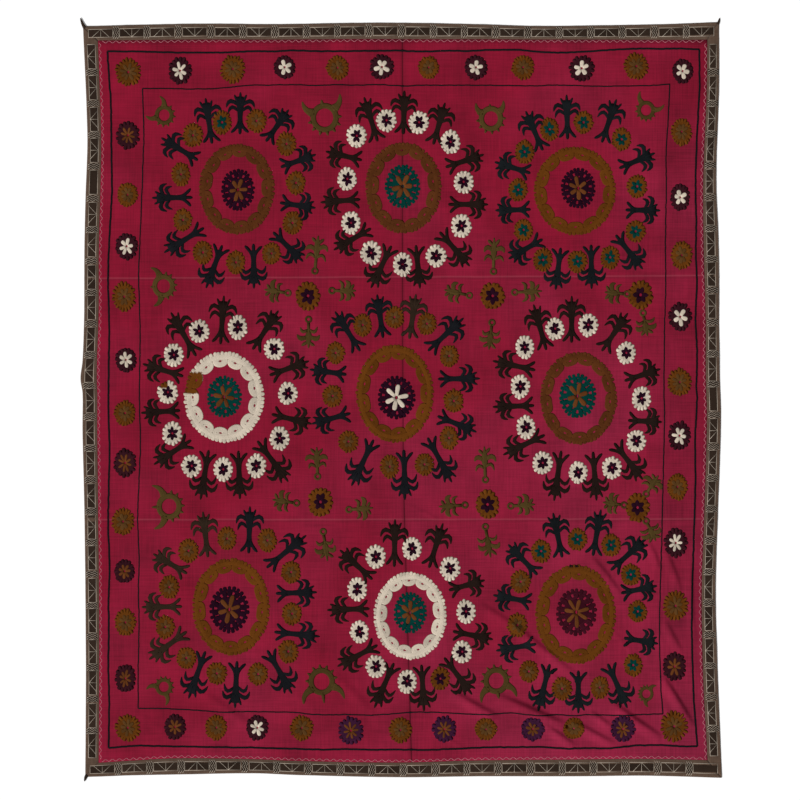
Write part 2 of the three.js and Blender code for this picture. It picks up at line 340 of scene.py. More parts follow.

# %% [markdown]
# ## Folds, wrinkles and pressed creases
#
# The spread lies flat but for some diagonal folds near the bottom and right.
# They could be simulated, but a simulation would put folds where it likes, so
# each one is listed: a bent line, a height and a reach. The hump across
# it is a cosine with a sharper ridge on top, as in cloth that was once creased.
# The solids have lower folds of their own, which this cloth replaces: these ones
# follow the dark lines of the photo more closely.

# %% Folds
# Columns: start, bend and end in mm, height and reach in mm.
FOLDS = [
    ((255, -676), (375, -752), (589, -925), 6, 32),
    ((168, -972), (238, -1012), (318, -1056), 9, 33),
    ((322, -988), (414, -1026), (549, -1086), 12, 40),
    ((473, -1074), (519, -1110), (579, -1153), 8, 28),
    ((560, -1068), (629, -1104), (709, -1147), 8, 30),
    ((629, -1040), (665, -1064), (703, -1092), 5.5, 24),
    ((703, -1012), (779, -1067), (866, -1126), 10, 34),
    ((869, -920), (925, -1010), (972, -1088), 10, 32),
    ((879, -740), (905, -790), (932, -840), 6, 28),
    ((879, -501), (915, -590), (930, -645), 6, 28),
    ((629, -521), (676, -574), (729, -647), 6, 28),
    ((824, -477), (845, -520), (858, -566), 5, 26),
    ((962, -520), (966, -670), (978, -820), 4.5, 28),
    ((-215, -918), (-145, -990), (-80, -1060), 4, 34),
    ((-665, -970), (-570, -1035), (-470, -1105), 4, 34),
]
# Smaller wrinkles that only the dressed cloth has, in the same columns.
WRINKLES = [
    ((240, -676), (285, -712), (335, -758), 1.6, 13),
    ((180, -965), (235, -996), (300, -1032), 1.5, 12),
    ((25, -355), (75, -372), (122, -398), 1.2, 12),
    ((-130, -270), (-85, -290), (-35, -314), 1.2, 12),
    ((-355, -972), (-320, -1005), (-285, -1042), 1.6, 13),
    ((-452, 1024), (-400, 1000), (-350, 970), 1.2, 14),
    ((880, -1010), (900, -1085), (935, -1165), 1.6, 14),
    ((640, -1130), (700, -1150), (770, -1160), 1.5, 13),
    ((420, -860), (520, -925), (600, -1000), 1.5, 14),
    ((930, -300), (938, -420), (944, -540), 1.3, 12),
    ((990, -640), (1000, -760), (1004, -900), 1.4, 12),
    ((700, -760), (760, -830), (800, -905), 1.2, 14),
    ((-900, -1030), (-820, -1080), (-760, -1140), 1.2, 14),
    ((95, -1090), (160, -1130), (235, -1175), 1.4, 14),
]
# How much nearer a fold comes down on its steep side.
STEEP_SHARE = 0.46
# Pressed creases: row in photo pixels at the middle and slope, and their hump.
CREASE_PIXELS = {"upper": (277.0, -0.0045), "lower": (519.3, -0.001)}
CREASE_HEIGHT = 0.5 * MM
CREASE_REACH = 12 * MM


def crease_height(points):
    """Height of the pressed creases: straight sides that meet on a low ridge."""
    total = np.zeros(points.shape[:-1])
    for row, slope in CREASE_PIXELS.values():
        line = spot(PHOTO_MIDDLE[0], row)[1] - slope * points[..., 0]
        total += CREASE_HEIGHT * np.clip(1 - np.abs(points[..., 1] - line) / CREASE_REACH, 0, 1)
    return total


def to_stretch(points, start, end):
    """Distance from each point to a straight stretch, how far along it is, the
    stretch's length, and whether the point lies on its left."""
    run = end - start
    length = np.hypot(*run)
    t = np.clip(((points - start) @ run) / length**2, 0, 1)
    nearest = start + t[..., None] * run
    off = points - nearest
    on_left = run[0] * off[..., 1] - run[1] * off[..., 0] > 0
    return np.hypot(off[..., 0], off[..., 1]), t * length, length, on_left


def fold_height(points, fold):
    """Height of one fold over the points: a cosine hump across its bent line, steep
    on the left of it, times the root of a sine along its length."""
    start, bend, end = (np.array(p, float) * MM for p in fold[:3])
    height, reach = fold[3] * MM, fold[4] * MM
    first, first_along, first_length, first_left = to_stretch(points, start, bend)
    second, second_along, second_length, second_left = to_stretch(points, bend, end)
    on_first = first < second
    distance = np.where(on_first, first, second)
    steep = np.where(on_first, first_left, second_left)
    travelled = np.where(on_first, first_along, first_length + second_along)
    t = travelled / (first_length + second_length)
    reaches = reach * np.where(steep, STEEP_SHARE, 1.0)
    hump = 0.5 + 0.5 * np.cos(np.pi * np.clip(distance / reaches, 0, 1))
    return height * hump * np.sqrt(np.clip(np.sin(np.pi * t), 0, 1))


# Gentle waves: wavelength in metres, direction in degrees and height in mm.
WAVES = [
    (0.43, 22, 0.35), (0.31, 78, 0.3), (0.19, 128, 0.25),
    (0.11, 50, 0.2), (0.083, 155, 0.16), (0.061, 12, 0.1),
]
# Widest step of the cloth's grid where it is folded.
FINE_STEP = 5.2 * MM


def waviness(points):
    """Sum of long low sines, lifted so that it never goes under the surface."""
    total = np.zeros(points.shape[:-1])
    for wavelength, degrees, height in WAVES:
        angle = np.radians(degrees)
        along = points[..., 0] * np.cos(angle) + points[..., 1] * np.sin(angle)
        total += height * MM * (1 + np.sin(2 * np.pi * along / wavelength + 3 * degrees))
    return total


def cloth_lift(points):
    """How far the cloth's underside stands off the surface at each (x, y)."""
    flat = points.reshape(-1, 2)
    highest = np.zeros(len(flat))
    for fold in FOLDS + WRINKLES:
        places, reach = np.array(fold[:3], float) * MM, fold[4] * MM
        near = ((flat > places.min(axis=0) - reach) & (flat < places.max(axis=0) + reach)).all(axis=-1)
        highest[near] = np.maximum(highest[near], fold_height(flat[near], fold))
    return highest.reshape(points.shape[:-1]) + waviness(points) + crease_height(points)


def on_cloth(points):
    """Height of the cloth's face."""
    return cloth_lift(points) + CLOTH_THICKNESS


def clear_lift(points):
    """The lift of what lies on the cloth. At the foot of a fold the grid's flat
    faces cut the corner and lie above the curve, by at most the difference between
    the mean of a face's four corners and its middle, so the larger one is taken."""
    half = FINE_STEP / 2
    around = sum(cloth_lift(points + np.array(way) * half) for way in ((1, 1), (1, -1), (-1, 1), (-1, -1)))
    return np.maximum(cloth_lift(points), around / 4)


def above_cloth(points):
    """Height at which stitching starts on the cloth."""
    return clear_lift(points) + CLOTH_THICKNESS


def above_tape(points):
    """Height at which stitching starts on the tape."""
    return clear_lift(points) + TAPE_THICKNESS


print("folds:", len(FOLDS), "wrinkles:", len(WRINKLES))

# %% [markdown]
# ## Meshes from arrays
#
# Every piece below is worked out as whole numpy arrays: points, four-sided
# faces, and a few many-sided caps. One function turns them into a mesh, with a
# UV map for patterns that follow the thread and any attributes the material
# reads.


# %% Mesh helpers
def mesh_object(name, points, quads, caps=(), uv=None, attributes=None):
    """A mesh object at the origin. quads is (n, 4) point numbers, caps a list of
    (n, k) arrays, uv one (u, v) for each corner of the quads, then of the caps."""
    groups = [quads, *caps]
    corners = np.concatenate([g.reshape(-1) for g in groups]).astype(np.int32)
    sizes = np.concatenate([np.full(len(g), g.shape[1]) for g in groups])
    starts = np.concatenate([[0], np.cumsum(sizes)[:-1]]).astype(np.int32)
    mesh = bpy.data.meshes.new(name)
    mesh.vertices.add(len(points))
    mesh.vertices.foreach_set("co", np.ascontiguousarray(points, np.float32).reshape(-1))
    mesh.loops.add(len(corners))
    mesh.loops.foreach_set("vertex_index", corners)
    mesh.polygons.add(len(starts))
    mesh.polygons.foreach_set("loop_start", starts)
    mesh.polygons.foreach_set("use_smooth", np.ones(len(starts), bool))
    if uv is not None:
        layer = mesh.uv_layers.new(name="path")
        layer.uv.foreach_set("vector", np.ascontiguousarray(uv, np.float32).reshape(-1))
    for key, values in (attributes or {}).items():
        attribute = mesh.attributes.new(key, "FLOAT", "POINT")
        attribute.data.foreach_set("value", np.ascontiguousarray(values, np.float32).reshape(-1))
    mesh.update(calc_edges=True)
    mesh.validate()
    made = bpy.data.objects.new(name, mesh)
    bpy.context.scene.collection.objects.link(made)
    return made


def finish_piece(made, material, slot_name):
    """Gives a piece its material, its slot in the record, and its body."""
    made.data.materials.append(material)
    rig.slot(made, slot_name)
    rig.ride(made, "root")
    return made


# %% [markdown]
# ## Materials: shared effects
#
# Thread, cloth and tape share three effects, each built once as a node group
# and placed in a material with its own values. `thread_tone` varies a colour
# from band to band and along a thread. `chain_links` draws the loops of chain
# stitch as a height. `plain_weave` draws over-and-under threads.


# %% Node helpers
def new_group(name, inputs, outputs):
    """An empty node group with named sockets: (name, socket type, default)."""
    group = bpy.data.node_groups.new(name, "ShaderNodeTree")
    for label, kind, value in inputs:
        socket = group.interface.new_socket(label, in_out="INPUT", socket_type=kind)
        if value is not None:
            socket.default_value = value
    for label, kind in outputs:
        group.interface.new_socket(label, in_out="OUTPUT", socket_type=kind)
    start = group.nodes.new("NodeGroupInput")
    end = group.nodes.new("NodeGroupOutput")
    return group, start, end


def math_node(tree, operation, first, second=None, third=None):
    """A Math node whose inputs are numbers or sockets. Returns its output."""
    node = tree.nodes.new("ShaderNodeMath")
    node.operation = operation
    for socket, value in zip(node.inputs, (first, second, third)):
        if value is None:
            continue
        if isinstance(value, (int, float)):
            socket.default_value = value
        else:
            tree.links.new(value, socket)
    return node.outputs[0]


def noise_node(tree, coordinates, scale, detail=3.0, stretch=(1, 1, 1)):
    """Noise between 0 and 1 on coordinates that are stretched first."""
    mapping = tree.nodes.new("ShaderNodeMapping")
    mapping.inputs["Scale"].default_value = stretch
    noise = tree.nodes.new("ShaderNodeTexNoise")
    noise.inputs["Scale"].default_value = scale
    noise.inputs["Detail"].default_value = detail
    tree.links.new(coordinates, mapping.inputs["Vector"])
    tree.links.new(mapping.outputs["Vector"], noise.inputs["Vector"])
    return noise.outputs["Fac"]


def mix_colours(tree, factor, first, second, blend="MIX"):
    """A colour mix. factor, first and second are sockets or plain values."""
    node = tree.nodes.new("ShaderNodeMix")
    node.data_type = "RGBA"
    node.blend_type = blend
    for name, value in (("Factor_Float", factor), ("A_Color", first), ("B_Color", second)):
        socket = next(s for s in node.inputs if s.identifier == name)
        if isinstance(value, (int, float, tuple)):
            socket.default_value = value
        else:
            tree.links.new(value, socket)
    return next(s for s in node.outputs if s.identifier == "Result_Color")


def grey(tree, value):
    """The same number in red, green and blue, for multiplying a colour."""
    node = tree.nodes.new("ShaderNodeCombineColor")
    for socket in node.inputs:
        tree.links.new(value, socket)
    return node.outputs["Color"]


# %% Node group: thread tone
def build_thread_tone():
    """Colour = mix of thread and faded thread, times a brightness that is one plus
    the band's own shade plus fine noise."""
    inputs = [
        ("Thread", "NodeSocketColor", None),
        ("Faded thread", "NodeSocketColor", None),
        ("Shade", "NodeSocketFloat", 0.0),
        ("Faded", "NodeSocketFloat", 0.0),
        ("Coordinates", "NodeSocketVector", None),
    ]
    group, start, end = new_group("thread_tone", inputs, [("Colour", "NodeSocketColor")])
    fine = noise_node(group, start.outputs["Coordinates"], 260.0, 2.0)
    broad = noise_node(group, start.outputs["Coordinates"], 22.0, 2.0)
    fine_part = math_node(group, "MULTIPLY_ADD", fine, 0.5, -0.25)
    broad_part = math_node(group, "MULTIPLY_ADD", broad, 0.5, -0.25)
    noise_part = math_node(group, "ADD", fine_part, broad_part)
    shade_part = math_node(group, "MULTIPLY_ADD", start.outputs["Shade"], 0.16, 1.0)
    brightness = math_node(group, "ADD", noise_part, shade_part)
    faded = start.outputs["Faded"]
    colour = mix_colours(group, faded, start.outputs["Thread"], start.outputs["Faded thread"])
    shaded = mix_colours(group, 1.0, colour, grey(group, brightness), "MULTIPLY")
    group.links.new(shaded, end.inputs["Colour"])
    return group


# %% Node group: chain links
LINK_LENGTH = 4.2 * MM


def build_chain_links():
    """Height of chain stitch on a path's UV: u in metres along, v one for each row.
    In each link the two strands stand apart by a sine, and the height falls off
    with the distance from the nearer strand. Every other row is half a link on."""
    inputs = [("Path", "NodeSocketVector", None), ("Link length", "NodeSocketFloat", LINK_LENGTH)]
    group, start, end = new_group("chain_links", inputs, [("Height", "NodeSocketFloat")])
    split = group.nodes.new("ShaderNodeSeparateXYZ")
    group.links.new(start.outputs["Path"], split.inputs[0])
    row = math_node(group, "FLOOR", split.outputs["Y"])
    across = math_node(group, "FRACT", split.outputs["Y"])
    counted = math_node(group, "DIVIDE", split.outputs["X"], start.outputs["Link length"])
    shifted = math_node(group, "MULTIPLY_ADD", row, 0.5, counted)
    along = math_node(group, "FRACT", shifted)
    opening = math_node(group, "SINE", math_node(group, "MULTIPLY", along, 3.14159))
    centred = math_node(group, "ABSOLUTE", math_node(group, "SUBTRACT", across, 0.5))
    strand = math_node(group, "MULTIPLY", opening, 0.3)
    off_strand = math_node(group, "ABSOLUTE", math_node(group, "SUBTRACT", centred, strand))
    height = math_node(group, "MULTIPLY_ADD", off_strand, -4.0, 1.0)
    clamped = math_node(group, "MAXIMUM", height, 0.0)
    group.links.new(clamped, end.inputs["Height"])
    return group


# %% Node group: plain weave
def build_plain_weave():
    """Height of a plain weave: warp and weft are sines of the two coordinates, and
    the one that is on top changes from crossing to crossing. Slubs are stretched
    noise along each direction."""
    inputs = [("Coordinates", "NodeSocketVector", None), ("Threads per metre", "NodeSocketFloat", 900.0)]
    outputs = [("Height", "NodeSocketFloat"), ("Slubs", "NodeSocketFloat")]
    group, start, end = new_group("plain_weave", inputs, outputs)
    split = group.nodes.new("ShaderNodeSeparateXYZ")
    group.links.new(start.outputs["Coordinates"], split.inputs[0])
    pitch = math_node(group, "MULTIPLY", start.outputs["Threads per metre"], 3.14159)
    warp = math_node(group, "SINE", math_node(group, "MULTIPLY", split.outputs["X"], pitch))
    weft = math_node(group, "SINE", math_node(group, "MULTIPLY", split.outputs["Y"], pitch))
    height = math_node(group, "ABSOLUTE", math_node(group, "MULTIPLY", warp, weft))
    upright = noise_node(group, start.outputs["Coordinates"], 1.0, 4.0, (230, 9, 1))
    level = noise_node(group, start.outputs["Coordinates"], 1.0, 4.0, (9, 260, 1))
    slubs = math_node(group, "MULTIPLY_ADD", upright, 1.0, math_node(group, "MULTIPLY", level, 1.1))
    group.links.new(height, end.inputs["Height"])
    group.links.new(slubs, end.inputs["Slubs"])
    return group


THREAD_TONE = build_thread_tone()
CHAIN_LINKS = build_chain_links()
PLAIN_WEAVE = build_plain_weave()
print("node groups:", len(bpy.data.node_groups))


# %% Material helpers
def new_material(name, roughness, sheen, specular=0.12):
    """A material with its Principled shader and an Object coordinate socket."""
    material = bpy.data.materials.new(name)
    material.use_nodes = True
    tree = material.node_tree
    shader = tree.nodes["Principled BSDF"]
    shader.inputs["Roughness"].default_value = roughness
    shader.inputs["Specular IOR Level"].default_value = specular
    shader.inputs["Sheen Weight"].default_value = sheen
    shader.inputs["Sheen Roughness"].default_value = 0.5
    coordinates = tree.nodes.new("ShaderNodeTexCoord")
    return material, tree, shader, coordinates


def place_group(tree, group, links=None, values=None):
    """Puts a node group in a material, with links to sockets and plain values."""
    node = tree.nodes.new("ShaderNodeGroup")
    node.node_tree = group
    for name, value in (values or {}).items():
        node.inputs[name].default_value = value
    for name, socket in (links or {}).items():
        tree.links.new(socket, node.inputs[name])
    return node


def add_bump(tree, shader, height, strength, distance):
    """Bump from a height, on the shader's Normal."""
    bump = tree.nodes.new("ShaderNodeBump")
    bump.inputs["Strength"].default_value = strength
    bump.inputs["Distance"].default_value = distance
    tree.links.new(height, bump.inputs["Height"])
    tree.links.new(bump.outputs["Normal"], shader.inputs["Normal"])


def attribute_value(tree, name):
    """A named mesh attribute as a number."""
    node = tree.nodes.new("ShaderNodeAttribute")
    node.attribute_name = name
    return node.outputs["Fac"]


# %% [markdown]
# ## Thread
#
# The embroidery looks like matt thread in chain stitch. Real loops could be
# modelled one by one, but there are far too many of them for the mesh to hold.
# So rows of thread are real ridges in the mesh, and
# the loops inside a row are bump from the row's own UV map.


# %% Thread materials
def thread_material(name, colour, faded):
    """Thread in one colour that turns to a second one where the piece is faded."""
    material, tree, shader, coordinates = new_material(name, 0.85, 0.003, 0.03)
    links = {
        "Shade": attribute_value(tree, "shade"),
        "Faded": attribute_value(tree, "faded"),
        "Coordinates": coordinates.outputs["Object"],
    }
    values = {"Thread": thread_base(colour), "Faded thread": thread_base(faded)}
    tone = place_group(tree, THREAD_TONE, links, values)
    tree.links.new(tone.outputs["Colour"], shader.inputs["Base Color"])
    chain = place_group(tree, CHAIN_LINKS, {"Path": coordinates.outputs["UV"]})
    add_bump(tree, shader, chain.outputs["Height"], 0.7, 0.5 * MM)
    return material


OLIVE = thread_material("olive_stitching", "olive", "grey_olive")
BROWN_OLIVE = thread_material("brown_olive_stitching", "brown_olive", "olive")
GREEN_OLIVE = thread_material("green_olive_stitching", "green_olive", "olive")
GREY_OLIVE = thread_material("grey_olive_stitching", "grey_olive", "olive")
WHITE = thread_material("white_stitching", "white", "olive")
PLUM = thread_material("plum_stitching", "plum", "violet")
MAROON = thread_material("maroon_stitching", "maroon", "plum")
WINE = thread_material("wine_stitching", "wine", "violet")
TEAL = thread_material("teal_stitching", "teal", "deep_teal")
GOLD = thread_material("gold_stitching", "gold", "olive")
NAVY = thread_material("navy_stitching", "navy", "faded_green")
BLACK = thread_material("black_stitching", "black", "faded_green")
DARK_TEAL = thread_material("dark_teal_stitching", "deep_teal", "faded_green")
PINK = thread_material("pink_stitching", "pink", "crimson")
TAPE_LINE = thread_material("tape_line_stitching", "tape_grey", "tape")
SLOTS = {
    OLIVE: "olive_thread", BROWN_OLIVE: "olive_thread", GREEN_OLIVE: "olive_thread", WHITE: "white_thread",
    GREY_OLIVE: "olive_thread",
    PLUM: "plum_thread", MAROON: "plum_thread", WINE: "plum_thread",
    TEAL: "teal_thread", GOLD: "gold_thread",
    NAVY: "dark_thread", BLACK: "dark_thread", DARK_TEAL: "dark_thread", PINK: "pink_thread",
    TAPE_LINE: "white_thread",
}
print("thread materials:", len(SLOTS))

# %% [markdown]
# ## Rows of stitching
#
# Every motif is filled with rows of thread that follow its shape. A petal, a
# leaf, a trunk or a ring is one band: a centre line, a half width at each
# station, and a number of rows side by side. The band is a closed tube whose
# top rises to a crest over each row and falls to a valley between two, so a
# whole motif is ridged the way real stitching is, with few faces.

# %% Bands
ROW_WIDTH = 3.0 * MM
THREAD_RISE = 0.9 * MM
VALLEY = 0.66
CROWN = 0.2
SINK = 0.25 * MM


def lay_bands(centres, halves, rows, surface=above_cloth, rise=THREAD_RISE, lift=0.0, closed=False):
    """Bands of stitching. centres is (bands, stations, 2) and halves the half width
    at each station. A section has 2 rows + 1 points from edge to edge. A point's
    height is the surface, plus lift, plus rise times a crest or valley, times the
    root of the half width over its largest, so that a band thins to its tips."""
    centres = np.asarray(centres, float)
    halves = np.broadcast_to(np.asarray(halves, float), centres.shape[:2])
    if closed:
        tangents = np.roll(centres, -1, axis=1) - np.roll(centres, 1, axis=1)
        steps = np.hypot(*np.moveaxis(np.roll(centres, -1, axis=1) - centres, -1, 0))
    else:
        tangents = np.gradient(centres, axis=1)
        steps = np.hypot(*np.moveaxis(np.diff(centres, axis=1), -1, 0))
    tangents /= np.maximum(np.hypot(tangents[..., 0], tangents[..., 1])[..., None], 1e-9)
    normals = np.stack([-tangents[..., 1], tangents[..., 0]], axis=-1)
    across = np.linspace(-1, 1, 2 * rows + 1)
    flat = centres[:, :, None] + normals[:, :, None] * (halves[:, :, None] * across)[..., None]
    profile = np.where(np.arange(2 * rows + 1) % 2 == 1, 1.0, VALLEY) * (1 - CROWN * across**2)
    profile[[0, -1]] = 0
    taper = np.sqrt(halves / halves.max())
    raised = lift + np.asarray(rise) * profile * taper[..., None]
    raised[..., [0, -1]] -= SINK
    height = surface(flat) + raised
    along = np.concatenate([np.zeros((len(centres), 1)), np.cumsum(steps, axis=1)], axis=1)
    return {
        "points": np.concatenate([flat, height[..., None]], axis=-1),
        "along": along,
        "rows": rows,
        "closed": closed,
        "shade": RANDOM.uniform(-1, 1, len(centres)),
        "faded": np.zeros(flat.shape[:3]),
    }


def band_faces(band, first):
    """Point numbers of a batch of bands: each quad joins two stations and two
    neighbours round the section, and each open end is one many-sided cap."""
    count, stations, around = band["points"].shape[:3]
    index = first + np.arange(count * stations * around).reshape(count, stations, around)
    here = index if band["closed"] else index[:, :-1]
    ahead = np.roll(index, -1, axis=1) if band["closed"] else index[:, 1:]
    quads = np.stack([here, ahead, np.roll(ahead, -1, 2), np.roll(here, -1, 2)], axis=-1)
    caps = [] if band["closed"] else [index[:, 0], index[:, -1, ::-1]]
    return quads.reshape(-1, 4), caps


def band_uv(band):
    """UV of each quad corner: metres along the band, and one for each row across."""
    count, stations, around = band["points"].shape[:3]
    along = band["along"]
    start, end = along[:, :-1, None], along[:, 1:, None]
    low = np.arange(around) / 2
    high = np.append(low[1:], 0)
    shape = (count, along.shape[1] - 1, around)
    u = np.stack([np.broadcast_to(x, shape) for x in (start, end, end, start)], axis=-1)
    v = np.stack([np.broadcast_to(x, shape) for x in (low, low, high, high)], axis=-1)
    return np.stack([u, v], axis=-1).reshape(-1, 2)


def stitched_piece(name, bands, material):
    """One mesh from batches of bands."""
    points, quads, caps, uvs, shade, faded = [], [], [], [], [], []
    first = 0
    for band in bands:
        points.append(band["points"].reshape(-1, 3))
        band_quads, band_caps = band_faces(band, first)
        quads.append(band_quads)
        caps += band_caps
        uvs.append(band_uv(band))
        shade.append(np.broadcast_to(band["shade"][:, None, None], band["faded"].shape).reshape(-1))
        faded.append(band["faded"].reshape(-1))
        first += len(points[-1])
    cap_corners = sum(cap.size for cap in caps)
    uv = np.concatenate([*uvs, np.zeros((cap_corners, 2))])
    made = mesh_object(
        name,
        np.concatenate(points),
        np.concatenate(quads),
        caps,
        uv,
        {"shade": np.concatenate(shade), "faded": np.concatenate(faded)},
    )
    return finish_piece(made, material, SLOTS[material])


# %% Shapes of a stitch band
def outline(kind, t):
    """Half width along a band, from 0 to 1, for t from 0 to 1. A petal swells to a
    round end, a leaf is pointed at both ends, a horn only at its far one, a finger
    is even with a round end, and a root widens towards a round end."""
    shapes = {
        "petal": np.sqrt(np.clip((0.35 + 0.75 * t) * (1 - t**7), 0.1, None)),
        "leaf": np.maximum(np.sin(np.pi * np.clip(t * 0.86 + 0.1, 0, 1)) ** 0.7, 0.15),
        "horn": np.maximum((1 - t) ** 0.45, 0.2),
        "finger": np.sqrt(np.clip(1 - t**8, 0.16, None)),
        "root": (0.78 + 0.3 * t) * np.sqrt(np.clip(1 - t**9, 0.18, None)),
        "trunk": np.interp(t, [0, 0.16, 0.4, 0.7, 1], [0.7, 1, 0.68, 0.53, 0.78]),
    }
    return shapes[kind]


def even_to_end(stations):
    """Stations from 0 to 1 that lie closer together towards 1, where ends are round."""
    return 1 - (1 - np.linspace(0, 1, stations)) ** 1.6


def bent_lines(start, bend, end, t):
    """Points along bent lines: (1 - t)^2 start + 2 t (1 - t) bend + t^2 end."""
    t = t[None, :, None]
    start, bend, end = (np.asarray(p, float)[:, None, :] for p in (start, bend, end))
    return (1 - t) ** 2 * start + 2 * t * (1 - t) * bend + t**2 * end


def stroke_bands(start, bend, end, half, kind, rows=2, stations=7, **options):
    """Bands along bent lines, with a named outline."""
    t = even_to_end(stations)
    lines = bent_lines(start, bend, end, t)
    shape = outline(kind, t)
    halves = np.broadcast_to(np.asarray(half, float), len(lines))[:, None] * shape
    return lay_bands(lines, halves, rows, **options)


def ellipse_points(centre, radii, angles):
    """Points at angles, in radians, on ellipses round a centre."""
    centre, radii = np.asarray(centre, float), np.asarray(radii, float)
    turned = np.stack([np.cos(angles), np.sin(angles)], axis=-1)
    return centre + radii * turned


def loop_bands(centres, radii, half, rows, stations=48, **options):
    """Closed bands round ellipses. centres and radii are (bands, 2)."""
    angles = np.linspace(0, 2 * np.pi, stations, endpoint=False)
    lines = ellipse_points(np.asarray(centres)[:, None], np.asarray(radii)[:, None], angles)
    halves = np.broadcast_to(np.asarray(half, float), len(lines))[:, None] * np.ones(stations)
    return lay_bands(lines, halves, rows, closed=True, **options)


def petal_bands(centres, radii, inner, outer, count, half, turn, kind="petal", wobble=0.06, **options):
    """Rings of petals: each runs from inner to outer, as shares of the ellipse's
    radii, at even angles that start from turn and wander a little."""
    centres, radii = np.asarray(centres, float), np.asarray(radii, float)
    even = np.arange(count) * 2 * np.pi / count
    shape = (len(centres), count)
    angles = np.asarray(turn)[:, None] + even + RANDOM.uniform(-0.12, 0.12, shape) * 2 * np.pi / count
    reach = outer * RANDOM.uniform(1 - wobble, 1 + wobble, shape)
    roots = ellipse_points(centres[:, None], radii[:, None] * inner, angles)
    ends = ellipse_points(centres[:, None], radii[:, None] * reach[..., None], angles)
    roots, ends = roots.reshape(-1, 2), ends.reshape(-1, 2)
    sizes = half * RANDOM.uniform(0.9, 1.1, len(roots))
    return stroke_bands(roots, (roots + ends) / 2, ends, sizes, kind, **options)


print("row width:", ROW_WIDTH / MM, "mm")

# %% [markdown]
# ## The cloth
#
# Two lengths of plain crimson cotton, sewn together down the middle. A flat
# plane with bump would lose the folds seen from the side, so each length is a
# fine grid of points between its four real edges, lifted by the folds and
# closed with a back and a rim. The grid is finer where the folds lie.


# %% Sheets from grids
def sheet_object(name, flat, face_height, thickness, attributes):
    """A closed sheet from a (rows, columns, 2) grid: face points, back points one
    thickness lower, and a rim round the edge."""
    rows, columns = flat.shape[:2]
    thickness = np.broadcast_to(thickness, (rows, columns))
    face = np.concatenate([flat, face_height[..., None]], axis=-1)
    back = np.concatenate([flat, (face_height - thickness)[..., None]], axis=-1)
    index = np.arange(rows * columns).reshape(rows, columns)
    under = index + rows * columns
    top = np.stack([index[:-1, :-1], index[:-1, 1:], index[1:, 1:], index[1:, :-1]], axis=-1)
    bottom = np.stack([under[:-1, :-1], under[1:, :-1], under[1:, 1:], under[:-1, 1:]], axis=-1)
    rim = np.concatenate([index[0], index[1:, -1], index[-1, -2::-1], index[-2:0:-1, 0]])
    after = np.roll(rim, -1)
    sides = np.stack([rim, rim + rows * columns, after + rows * columns, after], axis=-1)
    quads = np.concatenate([top.reshape(-1, 4), bottom.reshape(-1, 4), sides])
    points = np.concatenate([face.reshape(-1, 3), back.reshape(-1, 3)])
    uv = points[quads.reshape(-1), :2]
    doubled = {key: np.tile(values.reshape(-1), 2) for key, values in attributes.items()}
    return mesh_object(name, points, quads, (), uv, doubled)


def steps_between(low, high, step):
    """Even stations from low to high, about one step apart."""
    return np.linspace(low, high, max(2, round((high - low) / step) + 1))


def joined_steps(*parts):
    """Several runs of stations as one, in order and without repeats."""
    return np.unique(np.round(np.concatenate(parts), 7))


# %% Grid of a length of cloth
COARSE_STEP = 19 * MM
SEAM_STEPS = np.array([0.0, 1.2, 3.0, 5.5]) * MM
SEAM_DIP = 0.9 * MM
SEAM_DIP_REACH = 3.0 * MM


def panel_grid(left, right, across, up):
    """Points of a cloth between two upright lines, for shares across and up. The
    four edges are exact and the rest is blended: straight between the corners,
    plus the wander of each pair of facing edges."""
    low = lambda x: side_line("bottom", x, 1, FITTING_GAP)
    high = lambda x: side_line("top", x, 1, FITTING_GAP)
    low_left = meeting_point(left, low, -MEAN_HALF_HEIGHT)
    low_right = meeting_point(right, low, -MEAN_HALF_HEIGHT)
    high_left = meeting_point(left, high, MEAN_HALF_HEIGHT)
    high_right = meeting_point(right, high, MEAN_HALF_HEIGHT)
    u, v = across[None, :], up[:, None]
    low_x = low_left[0] + (low_right[0] - low_left[0]) * u
    high_x = high_left[0] + (high_right[0] - high_left[0]) * u
    left_y = low_left[1] + (high_left[1] - low_left[1]) * v
    right_y = low_right[1] + (high_right[1] - low_right[1]) * v
    left_x = low_left[0] + (high_left[0] - low_left[0]) * v
    right_x = low_right[0] + (high_right[0] - low_right[0]) * v
    left_wander = (left(left_y) - left_x) * (1 - u)
    right_wander = (right(right_y) - right_x) * u
    low_wander = (low(low_x) - low_left[1] - (low_right[1] - low_left[1]) * u) * (1 - v)
    high_wander = (high(high_x) - high_left[1] - (high_right[1] - high_left[1]) * u) * v
    x = low_x * (1 - v) + high_x * v + left_wander + right_wander
    y = left_y * (1 - u) + right_y * u + low_wander + high_wander
    return np.stack([x, y], axis=-1)


def cloth_panel(name, left, right, across, up):
    """One length of cloth. Its face dips where it turns under at the seam."""
    flat = panel_grid(left, right, across, up)
    from_seam = np.abs(flat[..., 0] - seam_line(flat[..., 1]))
    dip = SEAM_DIP * np.exp(-((from_seam / SEAM_DIP_REACH) ** 2))
    height = on_cloth(flat) - dip
    # The seam mask marks where the material paints the seam's shadow.
    attributes = {"seam": np.exp(-from_seam / SEAM_DIP_REACH)}
    return sheet_object(name, flat, height, CLOTH_THICKNESS - dip, attributes)


CLOTH_SPAN = 2 * MEAN_HALF_HEIGHT - 100 * MM
